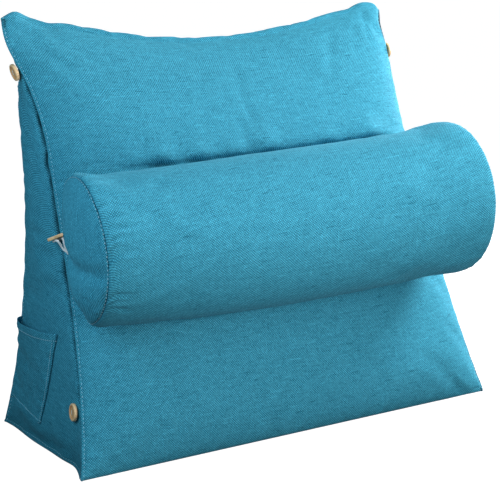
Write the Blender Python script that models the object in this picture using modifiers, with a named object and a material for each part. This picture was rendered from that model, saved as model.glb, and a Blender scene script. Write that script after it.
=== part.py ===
"""Wedge back-rest pillow with a round bolster, a side pocket and wooden buttons.

Metres, +Z up. The origin is the middle of the base where the pillow rests. +X runs across,
to the right of someone facing it, and +Y from the slanted front to the upright back.
"""

import math

import bmesh
import bpy
from mathutils import Matrix, Vector

COLLECTION_NAME = "wedge_pillow"
GAP = 0.0003

# Filled wedge: outline of its seams
BASE_WIDTH = 0.600
RIDGE_WIDTH = 0.561
DEPTH = 0.234
HEIGHT = 0.508
RIDGE_BACK = 0.111
RIDGE_THICK = 0.012
FRONT_LEAN = math.atan2(RIDGE_BACK + DEPTH / 2, HEIGHT)

# Filled wedge: how far the seams are drawn in, and how far the panels swell
SIDE_DRAW_LEFT = 0.023
SIDE_DRAW_RIGHT = 0.020
BACK_DRAW = 0.016
FOOT_DRAW = 0.009
RIDGE_SAG = 0.039
RIDGE_ROUND = 0.006
FRONT_CROWN = 0.052
BACK_CROWN = 0.029
SIDE_CROWN = 0.010
BASE_LIFT = 0.001
FLAT_SHARE = 0.75
FRONT_LOWER = 0.18

# Left ear of the ridge, where the side panel is turned in behind the front, and the neck below it.
# Each row: how far out the seam is moved, the height share where it is, and its reach
EAR_FRONT = (0.0085, 0.95, 0.055)
NECK_FRONT = (-0.0050, 0.74, 0.110)
EAR_BACK = (-0.0110, 0.92, 0.080)

WEDGE_CELLS = (12, 6, 12)

# Roundness and fullness of each swelling, as swell() takes them
EVEN_SHAPE = (2.0, 0.8)
DRAW_SHAPE = (2.0, 0.9)
SIDE_SHAPE = (2.0, 1.8)
ACROSS_SHAPE = (3.06, 0.57)
FRONT_SHAPE = (2.4, 0.58)
SAG_SHAPE = (2.0, 1.42)
RIDGE_SHAPE = (8.0, 0.5)
BELLY_SHAPE = (4.0, 0.6)
MOUTH_SHAPE = (2.4, 0.6)

# Round bolster, lying across the front and pressed flatter against it at its left end
ROLL_LENGTH = 0.511
ROLL_END_CROWN = 0.011
ROLL_RADIUS_LEFT = 0.0851
ROLL_RADIUS_RIGHT = 0.0921
ROLL_BELLY = 0.0010
ROLL_SEAM = 0.0010
ROLL_CENTRE = Vector((-0.0272, -0.105, 0.2681))
ROLL_YAW = math.radians(-4.67)
ROLL_TILT = math.radians(2.43)
ROLL_SAG = 0.0092
ROLL_FRONT_SHARE = (1.10, 1.02)
ROLL_BACK_SHARE = (0.50, 0.90)
ROLL_STEPS = 40
SEAT_GAP = 0.0036
SEAT_SHOULDER = 0.005
SEAT_FADE = 0.030

# Patch pocket on the left side panel, as heights and distances behind the middle of the base
POCKET_TOP_Z = (0.1455, 0.1400)
POCKET_FOOT_Z = (0.0260, 0.0360)
POCKET_FRONT_Y = (0.0200, -0.0090)
POCKET_BACK_SHARE = 0.96
POCKET_CLOTH = 0.0016
POCKET_HEM = 0.010
POCKET_HEM_EXTRA = 0.0009
POCKET_MOUTH = 0.013
POCKET_FLARE = 1.1
POCKET_CELLS = (8, 10)

# Wooden buttons and the elastic loops round the middle pair
BUTTON_RADIUS = 0.0105
BUTTON_THICK = 0.0040
BUTTON_DISH_RADIUS = 0.0075
BUTTON_DISH_DEPTH = 0.0010
BUTTON_EDGE = 0.0009
BUTTON_HOLE_RADIUS = 0.0010
BUTTON_HOLE_SPACING = 0.0055
BUTTON_STEPS = 24
BUTTON_ROWS = {"low": (0.066, 0.0185), "top": (0.447, 0.0125)}
EAR_BUTTON_TURN = math.radians(13.0)
EAR_BUTTON_STAND = 0.0025
MID_BUTTON_Z = 0.2617
MID_BUTTON_OUT = 0.0090
MID_BUTTON_AHEAD = 0.0077
MID_BUTTON_FACE = Vector((0.217, 0.324, 0.921))
ELASTIC_RADIUS = 0.0014
LOOP_EYE = 0.0048
LOOP_SAG = 0.0012

# The loop's eye round a button: shares of LOOP_EYE ahead and to each side, and of LOOP_SAG below
EYE_ROWS = ((1.8, 0.75, 1.0), (0.5, 1.0, 0.0), (-0.5, 0.8, 0.0))

# Each loop: its angle round the rim, how far in from the rim and how far off it is sewn, a via point
LOOP_ROUTES = {
    -1: (math.radians(19.0), 0.0070, 0.0041, (-0.2715, -0.0260, 0.2480)),
    1: (math.radians(15.0), 0.0050, 0.0024, (0.2560, -0.0270, 0.2540)),
}

TEAL = (0.055, 0.245, 0.345, 1.0)
TEAL_SHADE = (0.035, 0.155, 0.215, 1.0)
WOOD = (0.62, 0.45, 0.27, 1.0)
ELASTIC_WHITE = (0.82, 0.82, 0.80, 1.0)


def clear_scene():
    """Remove every object that the scene starts with."""
    for stray in list(bpy.data.objects):
        bpy.data.objects.remove(stray, do_unlink=True)


def new_collection(name):
    """Make a collection in the scene and return it."""
    collection = bpy.data.collections.new(name)
    bpy.context.scene.collection.children.link(collection)
    return collection


def finish(name, colour, roughness):
    """Make a plain Principled material."""
    material = bpy.data.materials.new(name)
    material.use_nodes = True
    shader = material.node_tree.nodes["Principled BSDF"]
    shader.inputs["Base Color"].default_value = colour
    shader.inputs["Roughness"].default_value = roughness
    shader.inputs["Metallic"].default_value = 0.0
    return material


def add_object(name, data, collection, material):
    """Put mesh or curve data in the collection as a named object."""
    piece = bpy.data.objects.new(name, data)
    collection.objects.link(piece)
    data.materials.append(material)
    return piece


def swell(share, roundness, fullness):
    """Fullness of a stuffed panel: 1 in its middle, 0 at the seams where share is -1 or 1."""
    return max(0.0, 1.0 - abs(share) ** roundness) ** fullness


def bulge(place, height, middle, reach):
    """A soft hump of a given height round a middle, gone at twice its reach."""
    return height * math.exp(-((place - middle) / reach) ** 2)


def bunch(share):
    """Crowd evenly spaced rows of points towards both seams."""
    return 0.3 * share + 0.7 * math.sin(math.pi / 2 * share)


def seam_y(side, up):
    """Where the straight front (side -1) or back (side 1) seam runs at height share up."""
    foot = side * DEPTH / 2
    ridge = RIDGE_BACK + side * RIDGE_THICK / 2
    return foot + (ridge - foot) * up


def wedge_point(across, deep, up):
    """Map a point of the unit cube, -1 to 1 across and deep, 0 to 1 up, to the filled wedge."""
    level = 2 * up - 1
    tall = swell(level, *EVEN_SHAPE)
    side_full = swell(deep, *EVEN_SHAPE)
    half = (BASE_WIDTH + (RIDGE_WIDTH - BASE_WIDTH) * up) / 2
    side_draw = SIDE_DRAW_LEFT if across < 0 else SIDE_DRAW_RIGHT
    half -= side_draw * swell(level, *DRAW_SHAPE)
    half += SIDE_CROWN * side_full * swell(level, *SIDE_SHAPE)
    half -= FOOT_DRAW * side_full * (1 - up) ** 4
    to_front = (1 - deep) / 2
    to_back = (1 + deep) / 2
    if across < 0:
        half += to_front * (bulge(up, *EAR_FRONT) + bulge(up, *NECK_FRONT))
        half += to_back * bulge(up, *EAR_BACK)

    wide = swell(across, *ACROSS_SHAPE)
    front_tall = swell(level + FRONT_LOWER * (1 - level * level), *FRONT_SHAPE)
    front_swell = FRONT_CROWN * wide * front_tall
    back_swell = BACK_CROWN * wide * tall
    back_draw = BACK_DRAW * (1 - level * level) * (1 - wide)
    y = to_front * (seam_y(-1, up) - front_swell * math.cos(FRONT_LEAN))
    y += to_back * (seam_y(1, up) + back_swell - back_draw)

    z = up * HEIGHT + to_front * front_swell * math.sin(FRONT_LEAN)
    z += RIDGE_ROUND * side_full * swell(across, *RIDGE_SHAPE) * up ** 12
    z -= RIDGE_SAG * swell(across, *SAG_SHAPE) * up ** 2
    rim = max(0.0, (max(abs(across), abs(deep)) - FLAT_SHARE) / (1 - FLAT_SHARE))
    z += BASE_LIFT * rim ** 2 * (1 - up) ** 6
    return Vector((across * half, y, max(0.0, z)))


def gridded_box(cells):
    """Make a cube from -1 to 1 with its faces cut into cells along X, Y and Z."""
    box = bmesh.new()
    bmesh.ops.create_cube(box, size=2.0)
    for axis, count in enumerate(cells):
        if count < 2:
            continue
        along = [edge for edge in box.edges
                 if abs(edge.verts[0].co[axis] - edge.verts[1].co[axis]) > 1.0]
        bmesh.ops.subdivide_edges(box, edges=along, cuts=count - 1, use_grid_fill=True)
    return box


def is_seam(edge):
    """Whether an edge of the gridded cube lies on a sewn edge of the wedge."""
    first, second = (vert.co for vert in edge.verts)
    on = [abs(abs(first[axis]) - 1) < 1e-5 and abs(first[axis] - second[axis]) < 1e-5
          for axis in range(3)]
    side_panel_edge = on[0] and (on[1] or on[2])
    base_edge = on[1] and on[2] and first.z < 0
    return side_panel_edge or base_edge


def evaluated_mesh(piece):
    """Return the mesh of an object with its modifiers applied."""
    bpy.context.view_layer.update()
    depsgraph = bpy.context.evaluated_depsgraph_get()
    return bpy.data.meshes.new_from_object(piece.evaluated_get(depsgraph))


def roll_matrix():
    """Place of the bolster: its own +Z runs along it, to the right."""
    turn = Matrix.Rotation(ROLL_YAW, 4, "Z") @ Matrix.Rotation(math.pi / 2 - ROLL_TILT, 4, "Y")
    return Matrix.Translation(ROLL_CENTRE) @ turn


def squash(place, pressing):
    """Press a point of the round roll flat against the front, or undo it, in the roll's own frame."""
    off_front = Vector((0.0, -math.cos(FRONT_LEAN), math.sin(FRONT_LEAN)))
    away = roll_matrix().to_3x3().transposed() @ off_front
    away.z = 0.0
    away.normalize()
    share = max(-1.0, min(1.0, place.z / (ROLL_LENGTH / 2)))
    proud = place.x * away.x + place.y * away.y
    left, right = ROLL_FRONT_SHARE if proud > 0 else ROLL_BACK_SHARE
    factor = left + (right - left) * (share + 1) / 2
    change = factor - 1 if pressing else 1 / factor - 1
    return place + away * proud * change


def roll_sag(share):
    """How far the bolster's middle hangs lower than its ends."""
    return ROLL_SAG * max(0.0, 1 - share * share)


def from_round(place):
    """Carry a point of the plain round roll, in its own frame, to the world."""
    world = roll_matrix() @ squash(place, True)
    world.z -= roll_sag(place.z / (ROLL_LENGTH / 2))
    return world


def to_round(place):
    """Carry a world point to the frame of the plain round roll."""
    to_roll = roll_matrix().inverted()
    share = (to_roll @ place).z / (ROLL_LENGTH / 2)
    return squash(to_roll @ (place + Vector((0.0, 0.0, roll_sag(share)))), False)


def roll_radius(along):
    """Radius of the bolster's body at a share along it, -1 at the left rim and 1 at the right."""
    radius = ROLL_RADIUS_LEFT + (ROLL_RADIUS_RIGHT - ROLL_RADIUS_LEFT) * (along + 1) / 2
    return radius + ROLL_BELLY * swell(along, *BELLY_SHAPE)


def press_seat(mesh):
    """Push the wedge's front out of the bolster, with a soft shoulder round the hollow."""
    half = ROLL_LENGTH / 2
    for vertex in mesh.vertices:
        place = to_round(vertex.co)
        beyond = max(0.0, abs(place.z) - half) / SEAT_FADE
        if beyond >= 1.0:
            continue
        fade = 1 - beyond * beyond * (3 - 2 * beyond)
        share = max(-1.0, min(1.0, place.z / half))
        wanted = (roll_radius(share) + SEAT_GAP) * fade
        radius = math.hypot(place.x, place.y)
        if radius < 1e-6:
            continue
        pressed = wanted + SEAT_SHOULDER * math.log1p(math.exp((radius - wanted) / SEAT_SHOULDER))
        pressed = max(radius, pressed) if radius < wanted + 8 * SEAT_SHOULDER else radius
        place.x *= pressed / radius
        place.y *= pressed / radius
        vertex.co = from_round(place)


def build_wedge(collection, material):
    """The filled wedge: one solid, sewn edges kept sharp, hollowed where the bolster presses."""
    box = gridded_box(WEDGE_CELLS)
    crease = box.edges.layers.float.new("crease_edge")
    for edge in box.edges:
        edge[crease] = 1.0 if is_seam(edge) else 0.0
    for vertex in box.verts:
        across, deep, level = (bunch(share) for share in vertex.co)
        vertex.co = wedge_point(across, deep, (level + 1) / 2)
    cage_mesh = bpy.data.meshes.new("wedge_cage")
    box.to_mesh(cage_mesh)
    box.free()
    cage = bpy.data.objects.new("wedge_cage", cage_mesh)
    collection.objects.link(cage)
    smooth = cage.modifiers.new("Filled form", "SUBSURF")
    smooth.levels = 1
    smooth.render_levels = 1
    mesh = evaluated_mesh(cage)
    bpy.data.objects.remove(cage, do_unlink=True)
    press_seat(mesh)
    mesh.shade_smooth()
    mesh.set_sharp_from_angle(angle=math.radians(50))
    return add_object("wedge_cushion", mesh, collection, material)


def turned(name, profile, steps, collection, material):
    """Turn a profile about Z with a Screw modifier. Its points run from top to bottom at +X."""
    mesh = bpy.data.meshes.new(name)
    edges = [(index, index + 1) for index in range(len(profile) - 1)]
    mesh.from_pydata([(radius, 0.0, height) for radius, height in profile], edges, [])
    piece = add_object(name, mesh, collection, material)
    screw = piece.modifiers.new("Turned", "SCREW")
    screw.axis = "Z"
    screw.steps = steps
    screw.render_steps = steps
    screw.use_merge_vertices = True
    screw.merge_threshold = 0.0001
    screw.use_smooth_shade = True
    return piece


def roll_profile():
    """Half section of the bolster from its right end to its left end, with raised rim seams."""
    half = ROLL_LENGTH / 2
    crown_rows = 5
    body_rows = 12
    right = [(ROLL_RADIUS_RIGHT * row / crown_rows,
              half + ROLL_END_CROWN * (1 - (row / crown_rows) ** 2)) for row in range(crown_rows)]
    body = []
    for row in range(body_rows + 1):
        share = bunch(1 - 2 * row / body_rows)
        lip = ROLL_SEAM if row in (0, body_rows) else 0.0
        body.append((roll_radius(share) + lip, half * share))
    left = [(ROLL_RADIUS_LEFT * row / crown_rows,
             -half - ROLL_END_CROWN * (1 - (row / crown_rows) ** 2)) for row in range(crown_rows)]
    return right + body + left[::-1]


def build_bolster(collection, material):
    """The filled roll: turned, then pressed against the front with its right end a little raised."""
    blank = turned("bolster_blank", roll_profile(), ROLL_STEPS, collection, material)
    mesh = evaluated_mesh(blank)
    bpy.data.objects.remove(blank, do_unlink=True)
    for vertex in mesh.vertices:
        vertex.co = from_round(vertex.co)
    mesh.materials.clear()
    return add_object("bolster", mesh, collection, material)


def side_point(side, y, z):
    """Point of a side panel (side -1 left, 1 right) at a depth and a height, and its outward normal."""
    up = z / HEIGHT
    share = (y - seam_y(-1, up)) / (seam_y(1, up) - seam_y(-1, up))
    deep = 2 * share - 1
    step = 0.01
    here = wedge_point(side, deep, up)
    along = wedge_point(side, deep + step, up) - wedge_point(side, deep - step, up)
    upward = wedge_point(side, deep, up + step) - wedge_point(side, deep, up - step)
    outward = along.cross(upward).normalized()
    if outward.x * side < 0:
        outward.negate()
    return here, outward


def pocket_point(back, up, outer):
    """Point of the pocket: back 0 to 1 from its front edge to the back seam, up 0 to 1."""
    front_y = POCKET_FRONT_Y[0] + (POCKET_FRONT_Y[1] - POCKET_FRONT_Y[0]) * up
    foot_z = POCKET_FOOT_Z[0] + (POCKET_FOOT_Z[1] - POCKET_FOOT_Z[0]) * back
    top_z = POCKET_TOP_Z[0] + (POCKET_TOP_Z[1] - POCKET_TOP_Z[0]) * back
    z = foot_z + (top_z - foot_z) * up
    back_y = seam_y(-1, z / HEIGHT) * (1 - POCKET_BACK_SHARE) + seam_y(1, z / HEIGHT) * POCKET_BACK_SHARE
    y = front_y + (back_y - front_y) * back
    here, outward = side_point(-1, y, z)
    clear = 5 * GAP + POCKET_MOUTH * swell(2 * back - 1, *MOUTH_SHAPE) * up ** POCKET_FLARE
    hem = POCKET_HEM_EXTRA if (1 - up) * (top_z - foot_z) < POCKET_HEM * 1.05 else 0.0
    return here + outward * (clear + (POCKET_CLOTH + hem) * outer)


def build_pocket(collection, material):
    """Patch pocket: a cloth sheet sewn down on three sides, its hemmed mouth standing open."""
    sheet = gridded_box((POCKET_CELLS[0], 1, POCKET_CELLS[1]))
    hem_row = 1 - POCKET_HEM / (POCKET_TOP_Z[0] - POCKET_FOOT_Z[0])
    for vertex in sheet.verts:
        back, outer, up = ((share + 1) / 2 for share in vertex.co)
        row = round(up * POCKET_CELLS[1])
        up = 1.0 if row == POCKET_CELLS[1] else hem_row * row / (POCKET_CELLS[1] - 1)
        vertex.co = pocket_point(back, up, outer)
    bmesh.ops.recalc_face_normals(sheet, faces=sheet.faces)
    mesh = bpy.data.meshes.new("side_pocket")
    sheet.to_mesh(mesh)
    sheet.free()
    mesh.shade_smooth()
    mesh.set_sharp_from_angle(angle=math.radians(50))
    return add_object("side_pocket", mesh, collection, material)


def button_profile():
    """Half section of a button: dished face on top, rounded rim, flat back at Z = 0."""
    floor = BUTTON_THICK - BUTTON_DISH_DEPTH
    return [
        (0.0, floor),
        (BUTTON_DISH_RADIUS, floor),
        (BUTTON_DISH_RADIUS + BUTTON_DISH_DEPTH * 0.7, BUTTON_THICK),
        (BUTTON_RADIUS - BUTTON_EDGE, BUTTON_THICK),
        (BUTTON_RADIUS, BUTTON_THICK - BUTTON_EDGE),
        (BUTTON_RADIUS, BUTTON_EDGE),
        (BUTTON_RADIUS - BUTTON_EDGE, 0.0),
        (0.0, 0.0),
    ]


def build_hole_cutters(place, name, collection):
    """Two drills through a button, side by side across its middle."""
    cutters = []
    for index, side in enumerate((-1, 1)):
        drill = bmesh.new()
        bmesh.ops.create_cone(drill, cap_ends=True, segments=10, radius1=BUTTON_HOLE_RADIUS,
                              radius2=BUTTON_HOLE_RADIUS, depth=4 * BUTTON_THICK)
        mesh = bpy.data.meshes.new(f"{name}_drill_{index}")
        drill.to_mesh(mesh)
        drill.free()
        cutter = bpy.data.objects.new(mesh.name, mesh)
        collection.objects.link(cutter)
        shift = Matrix.Translation((0.0, side * BUTTON_HOLE_SPACING / 2, BUTTON_THICK / 2))
        cutter.matrix_world = place @ shift
        cutter.hide_render = True
        cutter.display_type = "WIRE"
        cutters.append(cutter)
    return cutters


def build_button(name, place, collection, cutters, material):
    """One turned wooden button with its two sewing holes, its back face at the place given."""
    button = turned(name, button_profile(), BUTTON_STEPS, collection, material)
    button.matrix_world = place
    for cutter in build_hole_cutters(place, name, cutters):
        cut = button.modifiers.new("Sewing hole", "BOOLEAN")
        cut.operation = "DIFFERENCE"
        cut.solver = "EXACT"
        cut.object = cutter
    return button


def facing(origin, outward, upward):
    """Matrix with its own +Z along outward and its own +Y close to upward."""
    z_axis = outward.normalized()
    x_axis = upward.cross(z_axis).normalized()
    y_axis = z_axis.cross(x_axis)
    turn = Matrix((x_axis, y_axis, z_axis)).transposed().to_4x4()
    return Matrix.Translation(origin) @ turn


def flat_button_place(side, z, behind_seam):
    """Place of a button that lies on a side panel, a given distance behind the front seam."""
    here, outward = side_point(side, seam_y(-1, z / HEIGHT) + behind_seam, z)
    stand = 3 * GAP
    if side < 0 and z > HEIGHT / 2:
        outward = Matrix.Rotation(EAR_BUTTON_TURN, 3, "Z") @ outward
        stand += EAR_BUTTON_STAND
    return facing(here + outward * stand, outward, Vector((0.0, 0.35, 1.0)))


def mid_button_place(side):
    """Place of a middle button, which its loop has pulled on edge beside the front seam."""
    up = MID_BUTTON_Z / HEIGHT
    seam = wedge_point(side, -1.0, up)
    centre = seam + Vector((side * MID_BUTTON_OUT, -MID_BUTTON_AHEAD, MID_BUTTON_Z - seam.z))
    face = Vector((side * MID_BUTTON_FACE.x, MID_BUTTON_FACE.y, MID_BUTTON_FACE.z)).normalized()
    place = facing(centre, face, Vector((0.0, 1.0, 0.0)))
    return place @ Matrix.Translation((0.0, 0.0, -BUTTON_THICK / 2))


def loop_route(side):
    """Route of one elastic: from the bolster's rim, round beneath the middle button, and back."""
    sewn_angle, sewn_in, sewn_clear, via = LOOP_ROUTES[side]
    share = side * (1 - sewn_in / (ROLL_LENGTH / 2))
    radius = (ROLL_RADIUS_RIGHT if side > 0 else ROLL_RADIUS_LEFT) + sewn_clear
    around = Vector((math.sin(sewn_angle), math.cos(sewn_angle), 0.0))
    sewn = from_round(around * radius + Vector((0.0, 0.0, share * ROLL_LENGTH / 2)))
    rise = Vector((0.0, math.sin(sewn_angle), math.cos(sewn_angle)))

    place = mid_button_place(side)
    hub = place.translation
    face = place.to_3x3() @ Vector((0.0, 0.0, 1.0))
    below = hub - face * (ELASTIC_RADIUS + GAP)
    ahead = (sewn - hub) - face * (sewn - hub).dot(face)
    ahead.normalize()
    outward = face.cross(ahead) * side
    strand = ELASTIC_RADIUS + GAP
    pairs = [
        (sewn, rise * strand),
        (Vector(via), (rise + outward).normalized() * strand * 1.1),
    ]
    for ahead_share, side_share, sag_share in EYE_ROWS:
        centre = below + ahead * LOOP_EYE * ahead_share - face * LOOP_SAG * sag_share
        pairs.append((centre, outward * LOOP_EYE * side_share))
    one_leg = [centre + spread for centre, spread in pairs]
    other_leg = [centre - spread for centre, spread in pairs]
    return one_leg + [below - ahead * LOOP_EYE] + other_leg[::-1]


def build_loop(side, name, collection, material):
    """One elastic loop, its two ends sewn side by side to the bolster."""
    curve = bpy.data.curves.new(name, "CURVE")
    curve.dimensions = "3D"
    curve.bevel_depth = ELASTIC_RADIUS
    curve.bevel_resolution = 2
    curve.use_fill_caps = True
    curve.resolution_u = 3
    route = loop_route(side)
    spline = curve.splines.new("BEZIER")
    spline.bezier_points.add(len(route) - 1)
    for knot, place in zip(spline.bezier_points, route):
        knot.co = place
        knot.handle_left_type = "AUTO"
        knot.handle_right_type = "AUTO"
    return add_object(name, curve, collection, material)


def main():
    """Build every piece of the pillow."""
    clear_scene()
    pillow = new_collection(COLLECTION_NAME)
    cutters = new_collection("cutters")
    build_wedge(pillow, finish("wedge cloth", TEAL, 0.9))
    build_bolster(pillow, finish("bolster cloth", TEAL, 0.9))
    build_pocket(pillow, finish("pocket cloth", TEAL_SHADE, 0.9))
    for side, side_name in ((-1, "left"), (1, "right")):
        for row_name, (z, behind_seam) in BUTTON_ROWS.items():
            name = f"button_{side_name}_{row_name}"
            place = flat_button_place(side, z, behind_seam)
            build_button(name, place, pillow, cutters, finish(f"{name} wood", WOOD, 0.55))
        name = f"button_{side_name}_mid"
        build_button(name, mid_button_place(side), pillow, cutters, finish(f"{name} wood", WOOD, 0.55))
        name = f"loop_{side_name}"
        build_loop(side, name, pillow, finish(f"{name} elastic", ELASTIC_WHITE, 0.8))


main()
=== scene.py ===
"""Dressed scene of a wedge back-rest pillow: slubbed linen cloth, seams, stitches, buttons and loops."""

from __future__ import annotations

import logging
import math
from dataclasses import dataclass, field, replace
from enum import Enum
from functools import cache
from typing import Callable, Sequence

import bmesh
import bpy
import numpy as np
from mathutils import Matrix, Vector
from mathutils.bvhtree import BVHTree


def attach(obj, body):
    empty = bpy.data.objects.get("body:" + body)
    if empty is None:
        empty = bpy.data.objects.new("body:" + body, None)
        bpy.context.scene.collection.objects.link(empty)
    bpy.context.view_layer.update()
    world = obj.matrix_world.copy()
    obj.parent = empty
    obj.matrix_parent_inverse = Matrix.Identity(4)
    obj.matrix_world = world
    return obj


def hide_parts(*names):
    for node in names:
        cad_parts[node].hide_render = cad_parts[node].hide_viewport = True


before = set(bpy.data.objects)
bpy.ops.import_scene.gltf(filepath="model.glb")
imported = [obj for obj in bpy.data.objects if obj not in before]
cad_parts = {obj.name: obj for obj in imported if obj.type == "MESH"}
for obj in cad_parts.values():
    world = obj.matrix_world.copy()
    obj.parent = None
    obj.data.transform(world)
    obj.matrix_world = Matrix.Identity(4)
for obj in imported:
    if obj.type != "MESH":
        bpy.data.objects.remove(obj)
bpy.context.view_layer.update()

LOG = logging.getLogger("wedge_pillow")
BODY = "root"
GAP = 0.0003
STEEPEST = 60.0

Array = np.ndarray
Pair = tuple[float, float]
Triple = tuple[float, float, float]
Colour = tuple[float, float, float, float]
Arrays = tuple[Array, Array]
Feeds = dict[str | int, object]
Chart = Callable[[Array, Array], Array]
Tree = bpy.types.NodeTree
Node = bpy.types.Node
Socket = bpy.types.NodeSocket
Material = bpy.types.Material
Mesh = bpy.types.Mesh
Piece = bpy.types.Object


def dome(offset: Array, reach: float) -> Array:
    """Soft hump, 1 at its middle and dying away past its reach."""
    return np.exp(-(offset / reach) ** 2)


def soft_step(offset: Array, softness: float) -> Array:
    """Smooth step from 0 below nought to 1 above it."""
    return 1 / (1 + np.exp(np.clip(-offset / softness, -STEEPEST, STEEPEST)))


def between(ends: Sequence, share: Array) -> Array:
    """Value at a share of the way from one end to the other."""
    return ends[0] + (ends[1] - ends[0]) * share


def put(name: str, data: bpy.types.ID) -> Piece:
    """Put an object that shows this data in the scene."""
    shown = bpy.data.objects.new(name, data)
    bpy.context.scene.collection.objects.link(shown)
    return shown


def finished(guide: Piece) -> Mesh:
    """Mesh that an object's modifiers or curve make. The object itself is taken away."""
    bpy.context.view_layer.update()
    mesh = bpy.data.meshes.new_from_object(guide.evaluated_get(bpy.context.evaluated_depsgraph_get()))
    bpy.data.objects.remove(guide, do_unlink=True)
    return mesh


def lay_weave(mesh: Mesh, corners: Sequence[Sequence[float]] | None = None) -> None:
    """Give a mesh its UV map of the weave in metres, or else of its own X and Y."""
    if corners is None:
        corners = [mesh.vertices[loop.vertex_index].co[:2] for loop in mesh.loops]
    layer = mesh.uv_layers.get("weave") or mesh.uv_layers.new(name="weave")
    layer.data.foreach_set("uv", np.array(corners, dtype=np.float32).ravel())


def new_mesh(name: str, places: Sequence, edges: Sequence, faces: Sequence) -> Mesh:
    """Make a mesh of points, edges and faces."""
    mesh = bpy.data.meshes.new(name)
    mesh.from_pydata(places, edges, faces)
    return mesh


def poured(name: str, shell: bmesh.types.BMesh) -> Mesh:
    """Pour a worked shell into a mesh of its own."""
    mesh = bpy.data.meshes.new(name)
    shell.to_mesh(mesh)
    shell.free()
    return mesh


def turn_outwards(mesh: Mesh) -> None:
    """Turn a mesh's faces outwards and shade it smooth."""
    shell = bmesh.new()
    shell.from_mesh(mesh)
    bmesh.ops.recalc_face_normals(shell, faces=shell.faces)
    if shell.calc_volume(signed=True) < 0:
        bmesh.ops.reverse_faces(shell, faces=shell.faces)
    shell.to_mesh(mesh)
    shell.free()
    mesh.shade_smooth()


class Side(Enum):
    """The two sides of the pillow, as the sign of X."""

    LEFT = -1
    RIGHT = 1

    @property
    def word(self) -> str:
        """Plain word used in the names of nodes and pieces."""
        return self.name.lower()


class Edge(Enum):
    """The four edges of a cloth panel."""

    START = "start"
    END = "end"
    FOOT = "foot"
    TOP = "top"


@dataclass(frozen=True)
class Swell:
    """How a stuffed panel swells between its seams.

    Args:
        roundness: Power of the share, higher for a flatter middle.
        fullness: Power of the whole, lower for a steeper rise at the seams.
    """

    roundness: float
    fullness: float

    def at(self, share: Array) -> Array:
        """Fullness, 1 in the middle and 0 where the share is -1 or 1."""
        return np.maximum(0.0, 1.0 - np.abs(share) ** self.roundness) ** self.fullness


@dataclass(frozen=True)
class Bulge:
    """A soft hump or dip along a line.

    Args:
        height: How high it is, negative for a dip.
        middle: Place of its middle.
        reach: Half its width.
    """

    height: float
    middle: float
    reach: float

    def at(self, place: Array) -> Array:
        """Height of the hump at a place."""
        return self.height * dome(place - self.middle, self.reach)


@dataclass(frozen=True)
class Lump:
    """A soft lump or dip on the round roll.

    Args:
        height: How far it stands out, negative for a dip.
        along: Share along the roll of its middle, and half its length.
        round_deg: Degrees round the roll of its middle, and half its width.
    """

    height: float
    along: Pair
    round_deg: Pair

    def at(self, share: Array, turn: Array) -> Array:
        """Height of the lump at a share along the roll and a turn round it."""
        aside = (np.degrees(turn) - self.round_deg[0] + 180) % 360 - 180
        far = ((share - self.along[0]) / self.along[1]) ** 2 + (aside / self.round_deg[1]) ** 2
        return self.height * np.exp(-far)


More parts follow.
